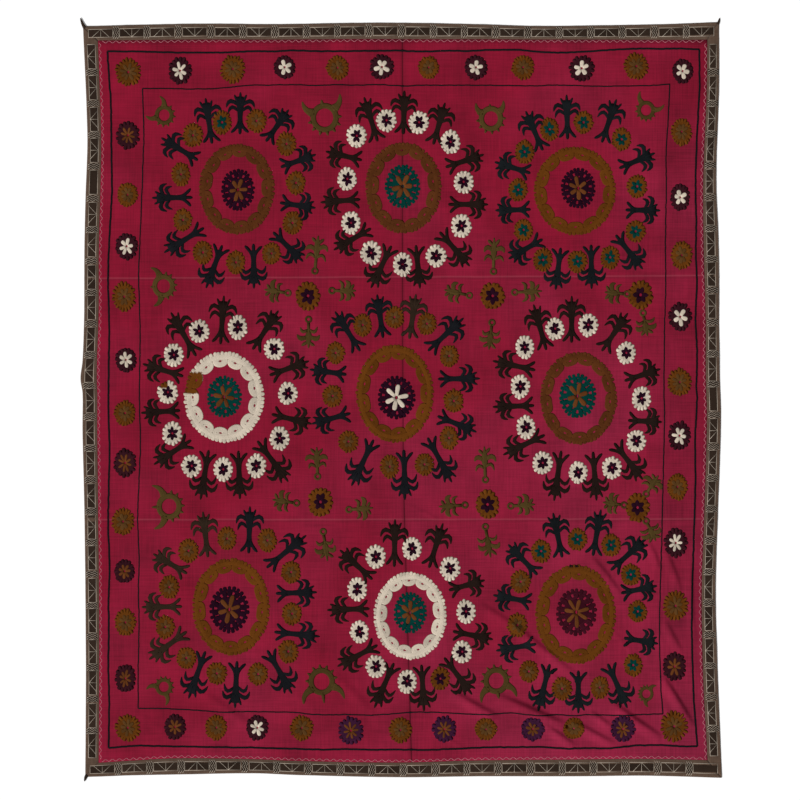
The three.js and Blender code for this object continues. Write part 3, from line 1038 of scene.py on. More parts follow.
# The creases as shares of the way up the cloth, with rows across their hump.
CREASE_SHARES = np.array([0.335, 0.67])
CREASE_ROWS = np.concatenate([CREASE_SHARES + s * CREASE_REACH / CLOTH_SPAN for s in (-1, -0.5, 0, 0.5, 1)])
LEFT_ROWS = joined_steps(
    steps_between(0, 0.17, FINE_STEP / CLOTH_SPAN),
    steps_between(0.17, 1, COARSE_STEP / CLOTH_SPAN),
    CREASE_ROWS,
)
RIGHT_ROWS = joined_steps(
    steps_between(0, 0.36, FINE_STEP / CLOTH_SPAN),
    steps_between(0.36, 1, COARSE_STEP / CLOTH_SPAN),
    CREASE_ROWS,
)
LEFT_COLUMNS = joined_steps(steps_between(0, 1 - 0.012, 0.0115), 1 - SEAM_STEPS / 1.01)
RIGHT_COLUMNS = joined_steps(SEAM_STEPS / 0.99, steps_between(0.012, 1, 0.0054))

cloth_left = cloth_panel(
    "cloth_left",
    lambda y: side_line("left", y, 1, FITTING_GAP),
    lambda y: seam_line(y) - FITTING_GAP / 2,
    LEFT_COLUMNS,
    LEFT_ROWS,
)
cloth_right = cloth_panel(
    "cloth_right",
    lambda y: seam_line(y) + FITTING_GAP / 2,
    lambda y: side_line("right", y, 1, FITTING_GAP),
    RIGHT_COLUMNS,
    RIGHT_ROWS,
)
print("cloth faces:", len(cloth_left.data.polygons) + len(cloth_right.data.polygons))

# %% [markdown]
# ## Crimson cotton
#
# Old cotton is never one red: it is streaked by uneven threads, mottled by
# washing, pinker where it has worn, and pale along the pressed creases, where
# the pale line is partly fading and partly painted light. Painted shade is
# added beside each crease, near the right edge and as a dark line along the
# seam. All but the seam's shade is worked out from Object coordinates, so it
# stays put on the cloth.

# %% Node group: pressed creases
CREASE_LINE_WIDTH = 2.6 * MM


def bell(group, distance):
    """A bell curve: e to the power of minus the distance squared."""
    squared = math_node(group, "POWER", distance, 2.0)
    return math_node(group, "EXPONENT", math_node(group, "MULTIPLY", squared, -1.0))


def build_crease_line():
    """Masks of one level crease: distance from the line y = place + lean times x.
    Pale is a narrow bell on the line, partly fading and partly painted light; Dark
    is a wider one beside it, a painted shade."""
    inputs = [
        ("Coordinates", "NodeSocketVector", None),
        ("Place", "NodeSocketFloat", 0.0),
        ("Lean", "NodeSocketFloat", 0.0),
    ]
    outputs = [("Pale", "NodeSocketFloat"), ("Dark", "NodeSocketFloat")]
    group, start, end = new_group("crease_line", inputs, outputs)
    split = group.nodes.new("ShaderNodeSeparateXYZ")
    group.links.new(start.outputs["Coordinates"], split.inputs[0])
    wander = noise_node(group, start.outputs["Coordinates"], 9.0, 2.0)
    line = math_node(
        group, "MULTIPLY_ADD", split.outputs["X"], start.outputs["Lean"], start.outputs["Place"]
    )
    wandering = math_node(group, "MULTIPLY_ADD", wander, 4 * MM, line)
    distance = math_node(group, "SUBTRACT", split.outputs["Y"], wandering)
    width = CREASE_LINE_WIDTH
    fading_and_painted_light = bell(group, math_node(group, "DIVIDE", distance, width))
    beside = math_node(group, "DIVIDE", math_node(group, "ADD", distance, 2 * width), 1.5 * width)
    painted_shade = bell(group, beside)
    group.links.new(fading_and_painted_light, end.inputs["Pale"])
    group.links.new(painted_shade, end.inputs["Dark"])
    return group


CREASE_LINE = build_crease_line()


# %% Crimson cotton
def crimson_cotton():
    """Cloth colour: crimson, times streaks and mottling, pinker in worn patches and
    towards the lower right, with painted shade near the right edge and along the
    seam, and on each crease a pale line, partly fading and partly painted light,
    beside a painted shade."""
    material, tree, shader, coordinates = new_material("crimson_cotton", 0.86, 0.02)
    place = coordinates.outputs["Object"]
    weave = place_group(tree, PLAIN_WEAVE, {"Coordinates": place})
    split = tree.nodes.new("ShaderNodeSeparateXYZ")
    tree.links.new(place, split.inputs[0])
    mottle = noise_node(tree, place, 7.0, 4.0)
    patches = noise_node(tree, place, 2.3, 2.0)
    lean = math_node(tree, "SUBTRACT", split.outputs["X"], split.outputs["Y"])
    to_corner = math_node(tree, "MULTIPLY_ADD", lean, 0.22, 0.1)
    worn_sum = math_node(tree, "ADD", math_node(tree, "MULTIPLY_ADD", patches, 1.6, -0.7), to_corner)
    worn = math_node(tree, "MINIMUM", math_node(tree, "MAXIMUM", worn_sum, 0.0), 1.0)
    colour = mix_colours(tree, worn, linear("7e0c28"), linear("8a1e3c"))
    streaks = math_node(tree, "MULTIPLY_ADD", weave.outputs["Slubs"], 0.62, -0.65)
    mottle_and_painted_shade = math_node(tree, "MULTIPLY_ADD", mottle, 0.95, 0.525)
    # Painted shade: the cloth is darker from 0.85 m right of the middle, as if less lit there.
    edge = math_node(tree, "MULTIPLY_ADD", split.outputs["X"], 20.0, -17.0)
    edge = math_node(tree, "MINIMUM", math_node(tree, "MAXIMUM", edge, 0.0), 1.0)
    mottle_and_painted_shade = math_node(tree, "MULTIPLY_ADD", edge, -0.14, mottle_and_painted_shade)
    brightness = math_node(tree, "ADD", streaks, mottle_and_painted_shade)
    colour = mix_colours(tree, 1.0, colour, grey(tree, brightness), "MULTIPLY")
    # Each crease gets a pale line, partly fading and partly painted light, with a painted shade beside it.
    for row, slope in CREASE_PIXELS.values():
        line = place_group(tree, CREASE_LINE, {"Coordinates": place})
        line.inputs["Place"].default_value = float(spot(PHOTO_MIDDLE[0], row)[1]) - 2 * MM
        line.inputs["Lean"].default_value = -slope
        fading_and_painted_light = math_node(tree, "MULTIPLY", line.outputs["Pale"], 0.17)
        painted_shade = math_node(tree, "MULTIPLY", line.outputs["Dark"], 0.35)
        colour = mix_colours(tree, painted_shade, colour, linear("5e0c22"))
        colour = mix_colours(tree, fading_and_painted_light, colour, linear("b5606c"))
    # Painted shade: a dark line along the seam, standing in for its shadow.
    painted_seam_shade = math_node(tree, "MULTIPLY", attribute_value(tree, "seam"), 0.75)
    colour = mix_colours(tree, painted_seam_shade, colour, linear("38060f"))
    tree.links.new(colour, shader.inputs["Base Color"])
    height = math_node(tree, "MULTIPLY_ADD", weave.outputs["Slubs"], 0.8, weave.outputs["Height"])
    add_bump(tree, shader, height, 0.5, 0.25 * MM)
    return material


COTTON = crimson_cotton()
for cloth, node in ((cloth_left, "panel_left"), (cloth_right, "panel_right")):
    finish_piece(cloth, COTTON, "ground_cloth")
    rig.replaces(cloth, node)
seam_ends = [float(side_line(side, seam_line(0.0), 1)) for side in ("bottom", "top")]
seam_at = steps_between(seam_ends[0] + 3 * MM, seam_ends[1] - 3 * MM, 12 * MM)
seam_points = np.stack([seam_line(seam_at), seam_at], axis=-1)
# The seam's stitches are real thread, in a dark colour that also paints the seam's shadow line.
SEAM_THREAD = thread_material("seam_stitching", "seam", "seam")
SLOTS[SEAM_THREAD] = "ground_cloth"
seam_band = lay_bands([seam_points], 0.7 * MM, 1, lambda p: on_cloth(p) - SEAM_DIP, 0.35 * MM)
seam = stitched_piece("seam_stitches", [seam_band], SEAM_THREAD)
print("cloth dressed")

# %% [markdown]
# ## The tape
#
# The edge is bound with a wide brown tape with grey lines along it. What it does
# on the back does not show. A strip is again a grid: along the side in fine steps, and
# across it with rounded edges that come down to the cloth.

# %% Tape strips
TAPE_STEP = 9 * MM
TAPE_ACROSS = np.array([0, 0.02, 0.06, 0.14, 0.3, 0.5, 0.7, 0.86, 0.94, 0.98, 1.0])
EDGE_SHARE = 0.45


def tape_corner(across, up, tapes):
    """Corner of the spread: tapes = 0 on its outer edge, 1 where the cloth begins."""
    return meeting_point(lambda y: side_line(across, y, tapes), lambda x: side_line(up, x, tapes), 0.0)


CORNERS = {
    (across, up): (tape_corner(across, up, 0), tape_corner(across, up, 1))
    for across in ("left", "right")
    for up in ("bottom", "top")
}


def tape_strip(side):
    """A mitred strip along one side, from its outer edge to its inner one."""
    upright = side in ("left", "right")
    axis = 1 if upright else 0
    ends = [CORNERS[(side, up)] for up in ("bottom", "top")] if upright else [
        CORNERS[(across, side)] for across in ("left", "right")
    ]
    low = [ends[0][k][axis] + FITTING_GAP for k in (0, 1)]
    high = [ends[1][k][axis] - FITTING_GAP for k in (0, 1)]
    share = steps_between(0, 1, TAPE_STEP / (high[0] - low[0]))
    edges = []
    for k in (0, 1):
        at = low[k] + (high[k] - low[k]) * share
        line = side_line(side, at, k)
        edges.append(np.stack([line, at] if upright else [at, line], axis=-1))
    outer, inner = edges
    across = TAPE_ACROSS[None, :, None]
    flat = outer[:, None] * (1 - across) + inner[:, None] * across
    if side in ("right", "top"):
        flat = flat[:, ::-1]
    if not upright:
        flat = np.swapaxes(flat, 0, 1)
        across_grid = np.broadcast_to(TAPE_ACROSS[:, None], flat.shape[:2])
    else:
        across_grid = np.broadcast_to(TAPE_ACROSS[None, :], flat.shape[:2])
    rounded = 1 - (1 - EDGE_SHARE) * np.abs(2 * across_grid - 1) ** 6
    ripple = 0.15 * MM * np.sin(flat[..., axis] / (7 * MM)) * np.abs(2 * across_grid - 1) ** 2
    height = cloth_lift(flat) + TAPE_THICKNESS * rounded + ripple
    thickness = TAPE_THICKNESS * rounded + ripple
    return sheet_object("tape_" + side, flat, height, thickness, {"edge": 1 - rounded})


# %% Tape material
def tape_weave():
    """Brown tape: ribs across it, darker and lighter threads, worn folded edges."""
    material, tree, shader, coordinates = new_material("brown_tape", 0.9, 0.02)
    place = coordinates.outputs["Object"]
    weave = place_group(tree, PLAIN_WEAVE, {"Coordinates": place}, {"Threads per metre": 700.0})
    mottle = noise_node(tree, place, 60.0, 3.0)
    colour = mix_colours(tree, mottle, linear("48382d"), linear("604d40"))
    brightness = math_node(tree, "MULTIPLY_ADD", weave.outputs["Slubs"], 0.6, 0.4)
    colour = mix_colours(tree, 1.0, colour, grey(tree, brightness), "MULTIPLY")
    worn = math_node(tree, "MULTIPLY", attribute_value(tree, "edge"), 0.5)
    colour = mix_colours(tree, worn, colour, linear("6a5547"))
    tree.links.new(colour, shader.inputs["Base Color"])
    add_bump(tree, shader, weave.outputs["Height"], 0.6, 0.4 * MM)
    return material


TAPE = tape_weave()
tapes = {}
for side in ("left", "right", "top", "bottom"):
    tapes[side] = finish_piece(tape_strip(side), TAPE, "binding_tape")
    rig.replaces(tapes[side], "binding_" + side)
print("tape faces:", sum(len(t.data.polygons) for t in tapes.values()))

# %% [markdown]
# ## The pattern on the tape
#
# The tape's grey lines make framed cells with a fan of three rays, turned in
# and out by turns, and blocks of zigzag lines between them. They could be a
# texture, but a raised line keeps its own edge and light, so they are thin bands
# here, laid out in a strip's own two directions: along it, and across it from
# 0 at the outer edge to 1 at the inner one.

# %% Tape pattern
CELL_COUNTS = {"left": 23, "right": 23, "top": 20, "bottom": 20}
CELL_SHARE = 0.77
FRAME_LOW, FRAME_HIGH = 0.24, 0.8
LINE_HALF = 0.36 * PIXEL
LINE_RISE = 0.55 * MM
STRIP_MARGIN = 3 * MM
ZIGZAG_LINES = 3
ZIGZAG_TURNS = 5
PLAIN_CELLS = {"left": {18}, "right": {11}, "top": set(), "bottom": {19}}


def tape_point(side, along, across):
    """Point of a strip: along in metres, across from its outer to its inner edge."""
    outer = side_line(side, along, 0)
    inner = side_line(side, along, 1)
    line = outer * (1 - across) + inner * across
    upright = side in ("left", "right")
    return np.stack([line, along] if upright else [along, line], axis=-1)


def strip_lines(side, start, end, stations=(0, 0.5, 1)):
    """Straight lines in a strip's own directions as points: start and end are
    (lines, 2) of along and across, stations are shares of the way."""
    t = np.asarray(stations, float)[None, :, None]
    own = np.asarray(start, float)[:, None] * (1 - t) + np.asarray(end, float)[:, None] * t
    return tape_point(side, own[..., 0], own[..., 1])


def cell_places(side):
    """Middle of each cell along a side, and the step from one to the next. The
    level strips run out to the corners, the upright ones stop between them."""
    axis = 1 if side in ("left", "right") else 0
    first, last = ("bottom", "top") if axis == 1 else ("left", "right")
    low = CORNERS[(side, first) if axis == 1 else (first, side)][axis][axis]
    high = CORNERS[(side, last) if axis == 1 else (last, side)][axis][axis]
    low, high = low + STRIP_MARGIN, high - STRIP_MARGIN
    pitch = (high - low) / CELL_COUNTS[side]
    middles = low + (np.arange(CELL_COUNTS[side]) + 0.5) * pitch
    return middles + RANDOM.uniform(-0.03, 0.03, len(middles)) * pitch, pitch


def fan_lines(middles, half, pointing_out):
    """Three rays from the middle of one long side of each cell to the other."""
    near = np.where(pointing_out, FRAME_LOW, FRAME_HIGH)
    far = np.where(pointing_out, FRAME_HIGH, FRAME_LOW)
    starts = np.repeat(np.stack([middles, near], axis=-1), 3, axis=0)
    lean = np.tile([-0.72, 0.0, 0.72], len(middles)) * half
    ends = np.stack([np.repeat(middles, 3) + lean, np.repeat(far, 3)], axis=-1)
    return starts, ends


def frame_lines(middles, half):
    """The four sides of each cell's frame."""
    left, right = middles - half, middles + half
    low, high = np.full_like(middles, FRAME_LOW), np.full_like(middles, FRAME_HIGH)
    corners = [np.stack(pair, axis=-1) for pair in ((left, low), (right, low), (right, high), (left, high))]
    starts = np.concatenate(corners)
    ends = np.concatenate(corners[1:] + corners[:1])
    return starts, ends


def zigzag_bands(side, places, room):
    """Blocks of zigzag lines across the tape between the cells."""
    line = (np.arange(ZIGZAG_LINES) - (ZIGZAG_LINES - 1) / 2) / ZIGZAG_LINES
    across = np.linspace(0.08, 0.9, ZIGZAG_TURNS)
    swing = np.where(np.arange(ZIGZAG_TURNS) % 2 == 0, -0.45, 0.45) * room / ZIGZAG_LINES
    along = places[:, None, None] + (line * room)[None, :, None] + swing
    points = tape_point(side, along, np.broadcast_to(across, along.shape))
    points = points.reshape(-1, ZIGZAG_TURNS, 2)
    return lay_bands(points, LINE_HALF * 1.1, 1, surface=above_tape, rise=LINE_RISE)


def tape_pattern(side):
    """All the grey lines of one strip, and the dark filling of its cells."""
    middles, pitch = cell_places(side)
    half = CELL_SHARE * pitch / 2
    options = {"surface": above_tape, "rise": LINE_RISE}
    shown = np.array([k not in PLAIN_CELLS[side] for k in range(len(middles))])
    starts, ends = fan_lines(middles[shown], half, (np.arange(len(middles)) % 2 == 0)[shown])
    frame_starts, frame_ends = frame_lines(middles, half)
    between = (middles[1:] + middles[:-1]) / 2
    lines = [
        lay_bands(strip_lines(side, starts, ends), LINE_HALF, 1, **options),
        lay_bands(strip_lines(side, frame_starts, frame_ends), LINE_HALF, 1, **options),
        zigzag_bands(side, between, pitch * (1 - CELL_SHARE) * 0.9),
    ]
    cell_starts = np.stack([middles - half * 0.98, np.full_like(middles, 0.51)], axis=-1)
    cell_ends = np.stack([middles + half * 0.98, np.full_like(middles, 0.51)], axis=-1)
    width = (FRAME_HIGH - FRAME_LOW) * 48 * MM / 2
    room = pitch * (1 - CELL_SHARE) * 0.42
    block_starts = np.stack([between - room, np.full_like(between, 0.49)], axis=-1)
    block_ends = np.stack([between + room, np.full_like(between, 0.49)], axis=-1)
    cells = strip_lines(side, cell_starts, cell_ends, (0, 0.03, 0.35, 0.65, 0.97, 1))
    blocks = strip_lines(side, block_starts, block_ends, (0, 0.08, 0.92, 1))
    fillings = [
        lay_bands(cells, width * 0.98, 5, above_tape, 0.25 * MM),
        lay_bands(blocks, width * 1.3, 5, above_tape, 0.2 * MM),
    ]
    return lines, fillings


DARK_TAPE = thread_material("dark_tape_stitching", "tape_dark", "tape")
SLOTS[DARK_TAPE] = "binding_tape"
tape_stitching = {}
for side in ("left", "right", "top", "bottom"):
    grey_lines, filling = tape_pattern(side)
    tape_stitching[side] = [
        stitched_piece("tape_lines_" + side, grey_lines, TAPE_LINE),
        stitched_piece("tape_cells_" + side, filling, DARK_TAPE),
    ]
print("tape cells:", sum(CELL_COUNTS.values()))

# %% [markdown]
# ## Tails of the tape
#
# At three corners the tape's end stands out past the corner. A tail is
# one pointed band of rows, bent a little, that starts on the tape.

# %% Tape tails
# Columns: corner, how far the tip stands from it in mm, half width in mm.
TAILS = {
    "tail_top_left": (("left", "top"), (-9, 27), 6.5),
    "tail_top_right": (("right", "top"), (1, 13), 5.0),
    "tail_bottom_left": (("left", "bottom"), (-2, -15), 6.0),
}
TAIL_ROOT = 9 * MM

tails = []
for name, (corner_key, tip, half) in TAILS.items():
    corner_point, inside = CORNERS[corner_key]
    inwards = (inside - corner_point) / np.hypot(*(inside - corner_point))
    root = corner_point + inwards * TAIL_ROOT
    end = corner_point + np.array(tip) * MM
    middle = corner_point + (end - root) * 0.12
    tail = stroke_bands(
        [root], [middle], [end], half * MM, "horn", 3, 9, surface=above_tape, rise=0.8 * MM, lift=-0.3 * MM
    )
    tails.append(stitched_piece(name.replace("tail", "tape_tail"), [tail], DARK_TAPE))
    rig.replaces(tails[-1], name)
print("tails:", len(tails))

# %% [markdown]
# ## Lines that frame the field
#
# Two dark lines run round the field, and a pale wavy line follows the tape.
# None of them is straight. A dark line is a smooth curve through places read
# along each side, with a small seeded wobble on top, and the pale line is a
# sine.

# %% Frame lines
# Places on each line in photo pixels, clockwise from the top left corner.
OUTER_LINE = {
    "top": [(107.5, 51.5), (150, 51.8), (175, 52.8), (225, 52.6), (258, 51), (270, 51.8), (290, 50.5),
        (320, 51.5), (400, 50.7), (425, 51.7), (450, 50.7), (467, 51.4), (490, 50), (517, 50), (550, 52.7),
        (570, 52.8), (610, 50), (647, 48.4), (660, 49.2), (675, 48.4), (699.3, 49.5)],
    "right": [(699.3, 49.5), (699.5, 89), (696.7, 138), (695.3, 184), (696.2, 221), (695.5, 251),
        (697.2, 284), (695.1, 316), (697, 350), (696.3, 384), (697, 401), (694.8, 440), (695.5, 480),
        (693.3, 551), (692.1, 588), (691.4, 621), (692.3, 660), (693.8, 702), (697.3, 746.1)],
    "bottom": [(697.3, 746.1), (680, 746.3), (663, 744.8), (640, 745), (627, 745.8), (614, 748.2),
        (580, 748), (567, 748.8), (543, 746.8), (480, 747.3), (430, 750), (400, 749.3), (373, 749.7),
        (347, 749), (322, 749.5), (267, 747.8), (220, 747), (187, 746.4), (137, 745.4), (108.7, 747.8)],
    "left": [(108.7, 747.8), (109.4, 702), (108.2, 660), (109.1, 632), (108.4, 604), (109.8, 570),
        (108.1, 518), (109.7, 450), (108.4, 400), (109.5, 329), (108, 280), (109.5, 238), (112.1, 193),
        (111.2, 109), (107.6, 51.5)],
}
INNER_LINE = {
    "top": [(142.6, 88.6), (175, 88.7), (187, 89.2), (215, 89), (250, 85.3), (300, 84.8), (315, 86),
        (333, 84.5), (355, 85.6), (373, 84.5), (408, 86.4), (420, 85.2), (500, 85.5), (533, 86),
        (560, 85), (582, 86.1), (610, 86.4), (655, 85.5), (669.6, 84.2)],
    "right": [(669.6, 84.2), (668, 120), (665.8, 154), (666.3, 185), (665.2, 246), (665.8, 284),
        (664.7, 321), (663.7, 388), (664.5, 420), (663, 480), (661.5, 545), (659.6, 610), (659.3, 640),
        (660.8, 690), (662.8, 713.7)],
    "bottom": [(662.8, 713.7), (615, 715.4), (588, 714.2), (575, 716.1), (560, 714.2), (540, 715.5),
        (508, 712.3), (493, 714.2), (472, 714.2), (440, 712.3), (417, 711.9), (368, 715.4), (353, 714.3),
        (333, 714.8), (313, 714.6), (295, 712.1), (238, 711.4), (225, 712.4), (197, 710), (158, 708.2),
        (138.2, 708.2)],
    "left": [(138.2, 708.2), (138.3, 668), (139.2, 618), (138.3, 593), (139.5, 560), (137.5, 518),
        (140.7, 445), (139.4, 400), (140.3, 329), (138.5, 275), (141.3, 213), (144, 138), (142.7, 88.6)],
}
LINE_STEP = 5 * MM
WOBBLE = 0.2 * PIXEL


def smooth_line(places):
    """Even points on a curve through places: straight stretches, smoothed by a
    running mean that leaves both ends where they are, plus a fine wobble."""
    corners = spots(places)
    lengths = np.hypot(*np.diff(corners, axis=0).T)
    travelled = np.concatenate([[0], np.cumsum(lengths)])
    even = steps_between(0, travelled[-1], LINE_STEP)
    line = np.stack([np.interp(even, travelled, corners[:, k]) for k in (0, 1)], axis=-1)
    window = 5
    padded = np.concatenate([np.repeat(line[:1], window, 0), line, np.repeat(line[-1:], window, 0)])
    kernel = np.ones(2 * window + 1) / (2 * window + 1)
    smooth = np.stack([np.convolve(padded[:, k], kernel, "valid") for k in (0, 1)], axis=-1)
    fade = np.clip(np.minimum(even, even[-1] - even) / (30 * MM), 0, 1)[:, None]
    wobble = RANDOM.normal(0, WOBBLE, line.shape)
    wobble = np.stack([np.convolve(wobble[:, k], np.ones(3) / 3, "same") for k in (0, 1)], axis=-1)
    return line * (1 - fade) + smooth * fade + wobble * fade


def frame_line_piece(name, sides, half, rows, material):
    """The four sides of a line as one piece."""
    bands = [lay_bands([smooth_line(places)], half, rows) for places in sides.values()]
    return stitched_piece(name, bands, material)


outer_frame = frame_line_piece("frame_line_outer", OUTER_LINE, 1.15 * PIXEL, 2, NAVY)
inner_frame = frame_line_piece("frame_line_inner", INNER_LINE, 0.85 * PIXEL, 1, NAVY)

# %% Pale wavy line beside the tape
WAVE_OFF = 5.8 * MM
WAVE_SWING = 3.5 * MM
WAVE_LENGTH = 23 * MM
WAVE_STEP = 3.6 * MM


def edge_wave(side):
    """A pale line on the cloth just inside one strip of tape: its distance from the
    tape is a sine of the place along the side."""
    axis = 1 if side in ("left", "right") else 0
    low, high = CORNERS[("left", "bottom")][1][axis], CORNERS[("right", "top")][1][axis]
    at = steps_between(low + 12 * MM, high - 12 * MM, WAVE_STEP)
    line = side_line(side, at, 1, WAVE_OFF + WAVE_SWING * np.sin(2 * np.pi * at / WAVE_LENGTH))
    points = np.stack([line, at] if axis == 1 else [at, line], axis=-1)
    return lay_bands([points], 0.33 * PIXEL, 1, rise=0.7 * MM)


wave = stitched_piece("edge_wave", [edge_wave(side) for side in EDGES], PINK)
print("frame lines and wavy line done")

# %% [markdown]
# ## Flowers
#
# Every round motif is the same idea at another size: a ring of small petals,
# one or two closed loops that fill it, and a flower of five to eight petals on
# top. So one function lays out any number of rosettes at once.

# %% Rosettes
ROSETTE_LIFT = 0.7 * MM


def rosette_body(centres, radii, teeth, body_inner=0.2, body_outer=0.8):
    """Toothed rosettes: loops from body_inner to body_outer, and short round teeth
    that stand side by side from half the radii to the whole."""
    centres, radii = np.atleast_2d(centres), np.atleast_2d(radii)
    radii = np.broadcast_to(radii, centres.shape)
    mean = radii.mean()
    middle = (body_inner + body_outer) / 2
    half = mean * (body_outer - body_inner) / 2
    rows = max(2, int(round(2 * half / ROW_WIDTH)))
    turn = RANDOM.uniform(0, np.pi, len(centres))
    tooth_half = 1.28 * np.pi * mean * 0.88 / teeth
    return [
        loop_bands(centres, radii * middle, half, rows, 30),
        petal_bands(centres, radii, 0.5, 1.0, teeth, tooth_half, turn, rows=1, stations=6, lift=0.15 * MM),
    ]


def rosette_flower(centres, radii, petals, half, inner=0.1, outer=0.58, kind="petal", turn=None):
    """The small flower on a rosette."""
    centres, radii = np.atleast_2d(centres), np.atleast_2d(radii)
    radii = np.broadcast_to(radii, centres.shape)
    turn = RANDOM.uniform(0, np.pi, len(centres)) if turn is None else turn
    return petal_bands(
        centres, radii, inner, outer, petals, half, turn, kind,
        rows=2, stations=6, lift=ROSETTE_LIFT, wobble=0.1,
    )


# %% Border flowers
# Middle, radii in photo pixels and petals of each, in three lists by kind.
BORDER_FLOWERS = {
    "olive": [
        (128.4, 72.3, 13.3, 14.6, 8), (232.9, 69.2, 12.9, 14.6, 8), (337.6, 67.9, 11.6, 12.2, 8),
        (428.6, 67.6, 10.7, 11.6, 7), (523, 67.5, 12, 12.5, 8), (636.2, 66.4, 12.6, 13.7, 8),
        (681.5, 131.7, 10.6, 14.2, 8), (681.6, 255.3, 11.1, 14.6, 7), (679.6, 382.2, 12.3, 14.4, 8),
        (677.3, 486.9, 10.6, 13.6, 7), (675.4, 605.8, 13, 15.2, 8), (674, 726.3, 14, 16, 8),
        (127.9, 727.7, 12.9, 14.1, 8), (216.5, 727.5, 11.1, 12.9, 8), (301.8, 727.9, 11.8, 13.1, 7),
        (400.4, 729.8, 11.9, 13.2, 8), (485.9, 729.2, 11.3, 11.3, 8), (573.6, 728.3, 10.9, 10.9, 7),
        (127.6, 194.8, 10.6, 12.5, 8), (124.3, 296.7, 12, 15.2, 8), (125.1, 413.1, 11.1, 12.8, 8),
        (123.2, 521.5, 11.6, 13.9, 7), (125.5, 622.3, 10.9, 14, 8),
    ],
    "white": [
        (180.1, 70.8, 11.8, 14, 6), (284.8, 67.3, 11, 12.1, 5), (382, 67.1, 12.6, 13, 5),
        (476, 67.5, 11.6, 12.5, 5), (581.6, 68.4, 13, 13.2, 5), (682.5, 71.2, 10.8, 12.5, 5),
        (680.1, 197.5, 10.1, 13.5, 5), (680.1, 316.8, 11.7, 14.7, 5), (679.4, 435.6, 12, 15.1, 6),
        (675.6, 542.8, 12, 15, 7), (257.4, 727.5, 11.2, 13.2, 6), (126.8, 246.3, 11.7, 13.8, 6),
        (126, 359.8, 10.9, 12.6, 6),
    ],
    "gold": [
        (175, 726.8, 11.1, 13.2, 7), (128, 135.4, 11.9, 14.6, 8), (125.2, 462.9, 11.5, 14.8, 8),
        (124.6, 571.2, 10.5, 12, 7), (125.5, 678.4, 10.5, 14.3, 8), (674.4, 666.5, 12, 14.6, 7),
        (350.9, 730.5, 13, 14.6, 8), (444.4, 729.1, 12.3, 13.6, 8), (532.8, 729, 11.8, 12, 7),
        (622.9, 728.9, 12.5, 13.6, 8),
    ],
}
# The last ones of the gold kind are sewn in violet.
VIOLET_COUNT = 4


def uneven(radii, count, spread=0.05):
    """Radii in metres for a number of flowers, each a little different."""
    return np.array(radii) * PIXEL * RANDOM.uniform(1 - spread, 1 + spread, (count, 2))


border_pieces = []
for kind, rows in BORDER_FLOWERS.items():
    rows = np.array(rows, float)
    places, radii, petals = spot(*rows[:, :2].T), rows[:, 2:4] * PIXEL, rows[:, 4].astype(int)
    body = rosette_body(places, radii, 20 if kind == "olive" else 17)
    if kind == "gold":
        for band in body:
            band["faded"][-VIOLET_COUNT * len(band["faded"]) // len(rows) :] = 1.0
    body_thread, flower_thread, width = {
        "olive": (OLIVE, GREY_OLIVE, 17.6), "white": (WINE, WHITE, 14.2), "gold": (WINE, GOLD, 13.5),
    }[kind]
    border_pieces.append(stitched_piece("border_" + kind, body, body_thread))
    flowers = []
    for count in np.unique(petals):
        chosen = petals == count
        petal_half = width / count * PIXEL
        flowers.append(rosette_flower(places[chosen], radii[chosen], count, petal_half, 0.08, 0.6))
    border_pieces.append(stitched_piece("border_flower_" + kind, flowers, flower_thread))
print("border flowers:", sum(len(rows) for rows in BORDER_FLOWERS.values()))

# %% [markdown]
# ## Medallions
#
# A medallion is a toothed ring with scallops and eyes inside, a toothed heart
# with a star, and a wreath of trees and rosettes by turns. The nine differ in
# size, colours and in how their trees stand, so a table holds what differs and
# one set of functions makes them all. Where the photo shows another colour in
# the middle of a motif, the table names the tree, flower or patch.

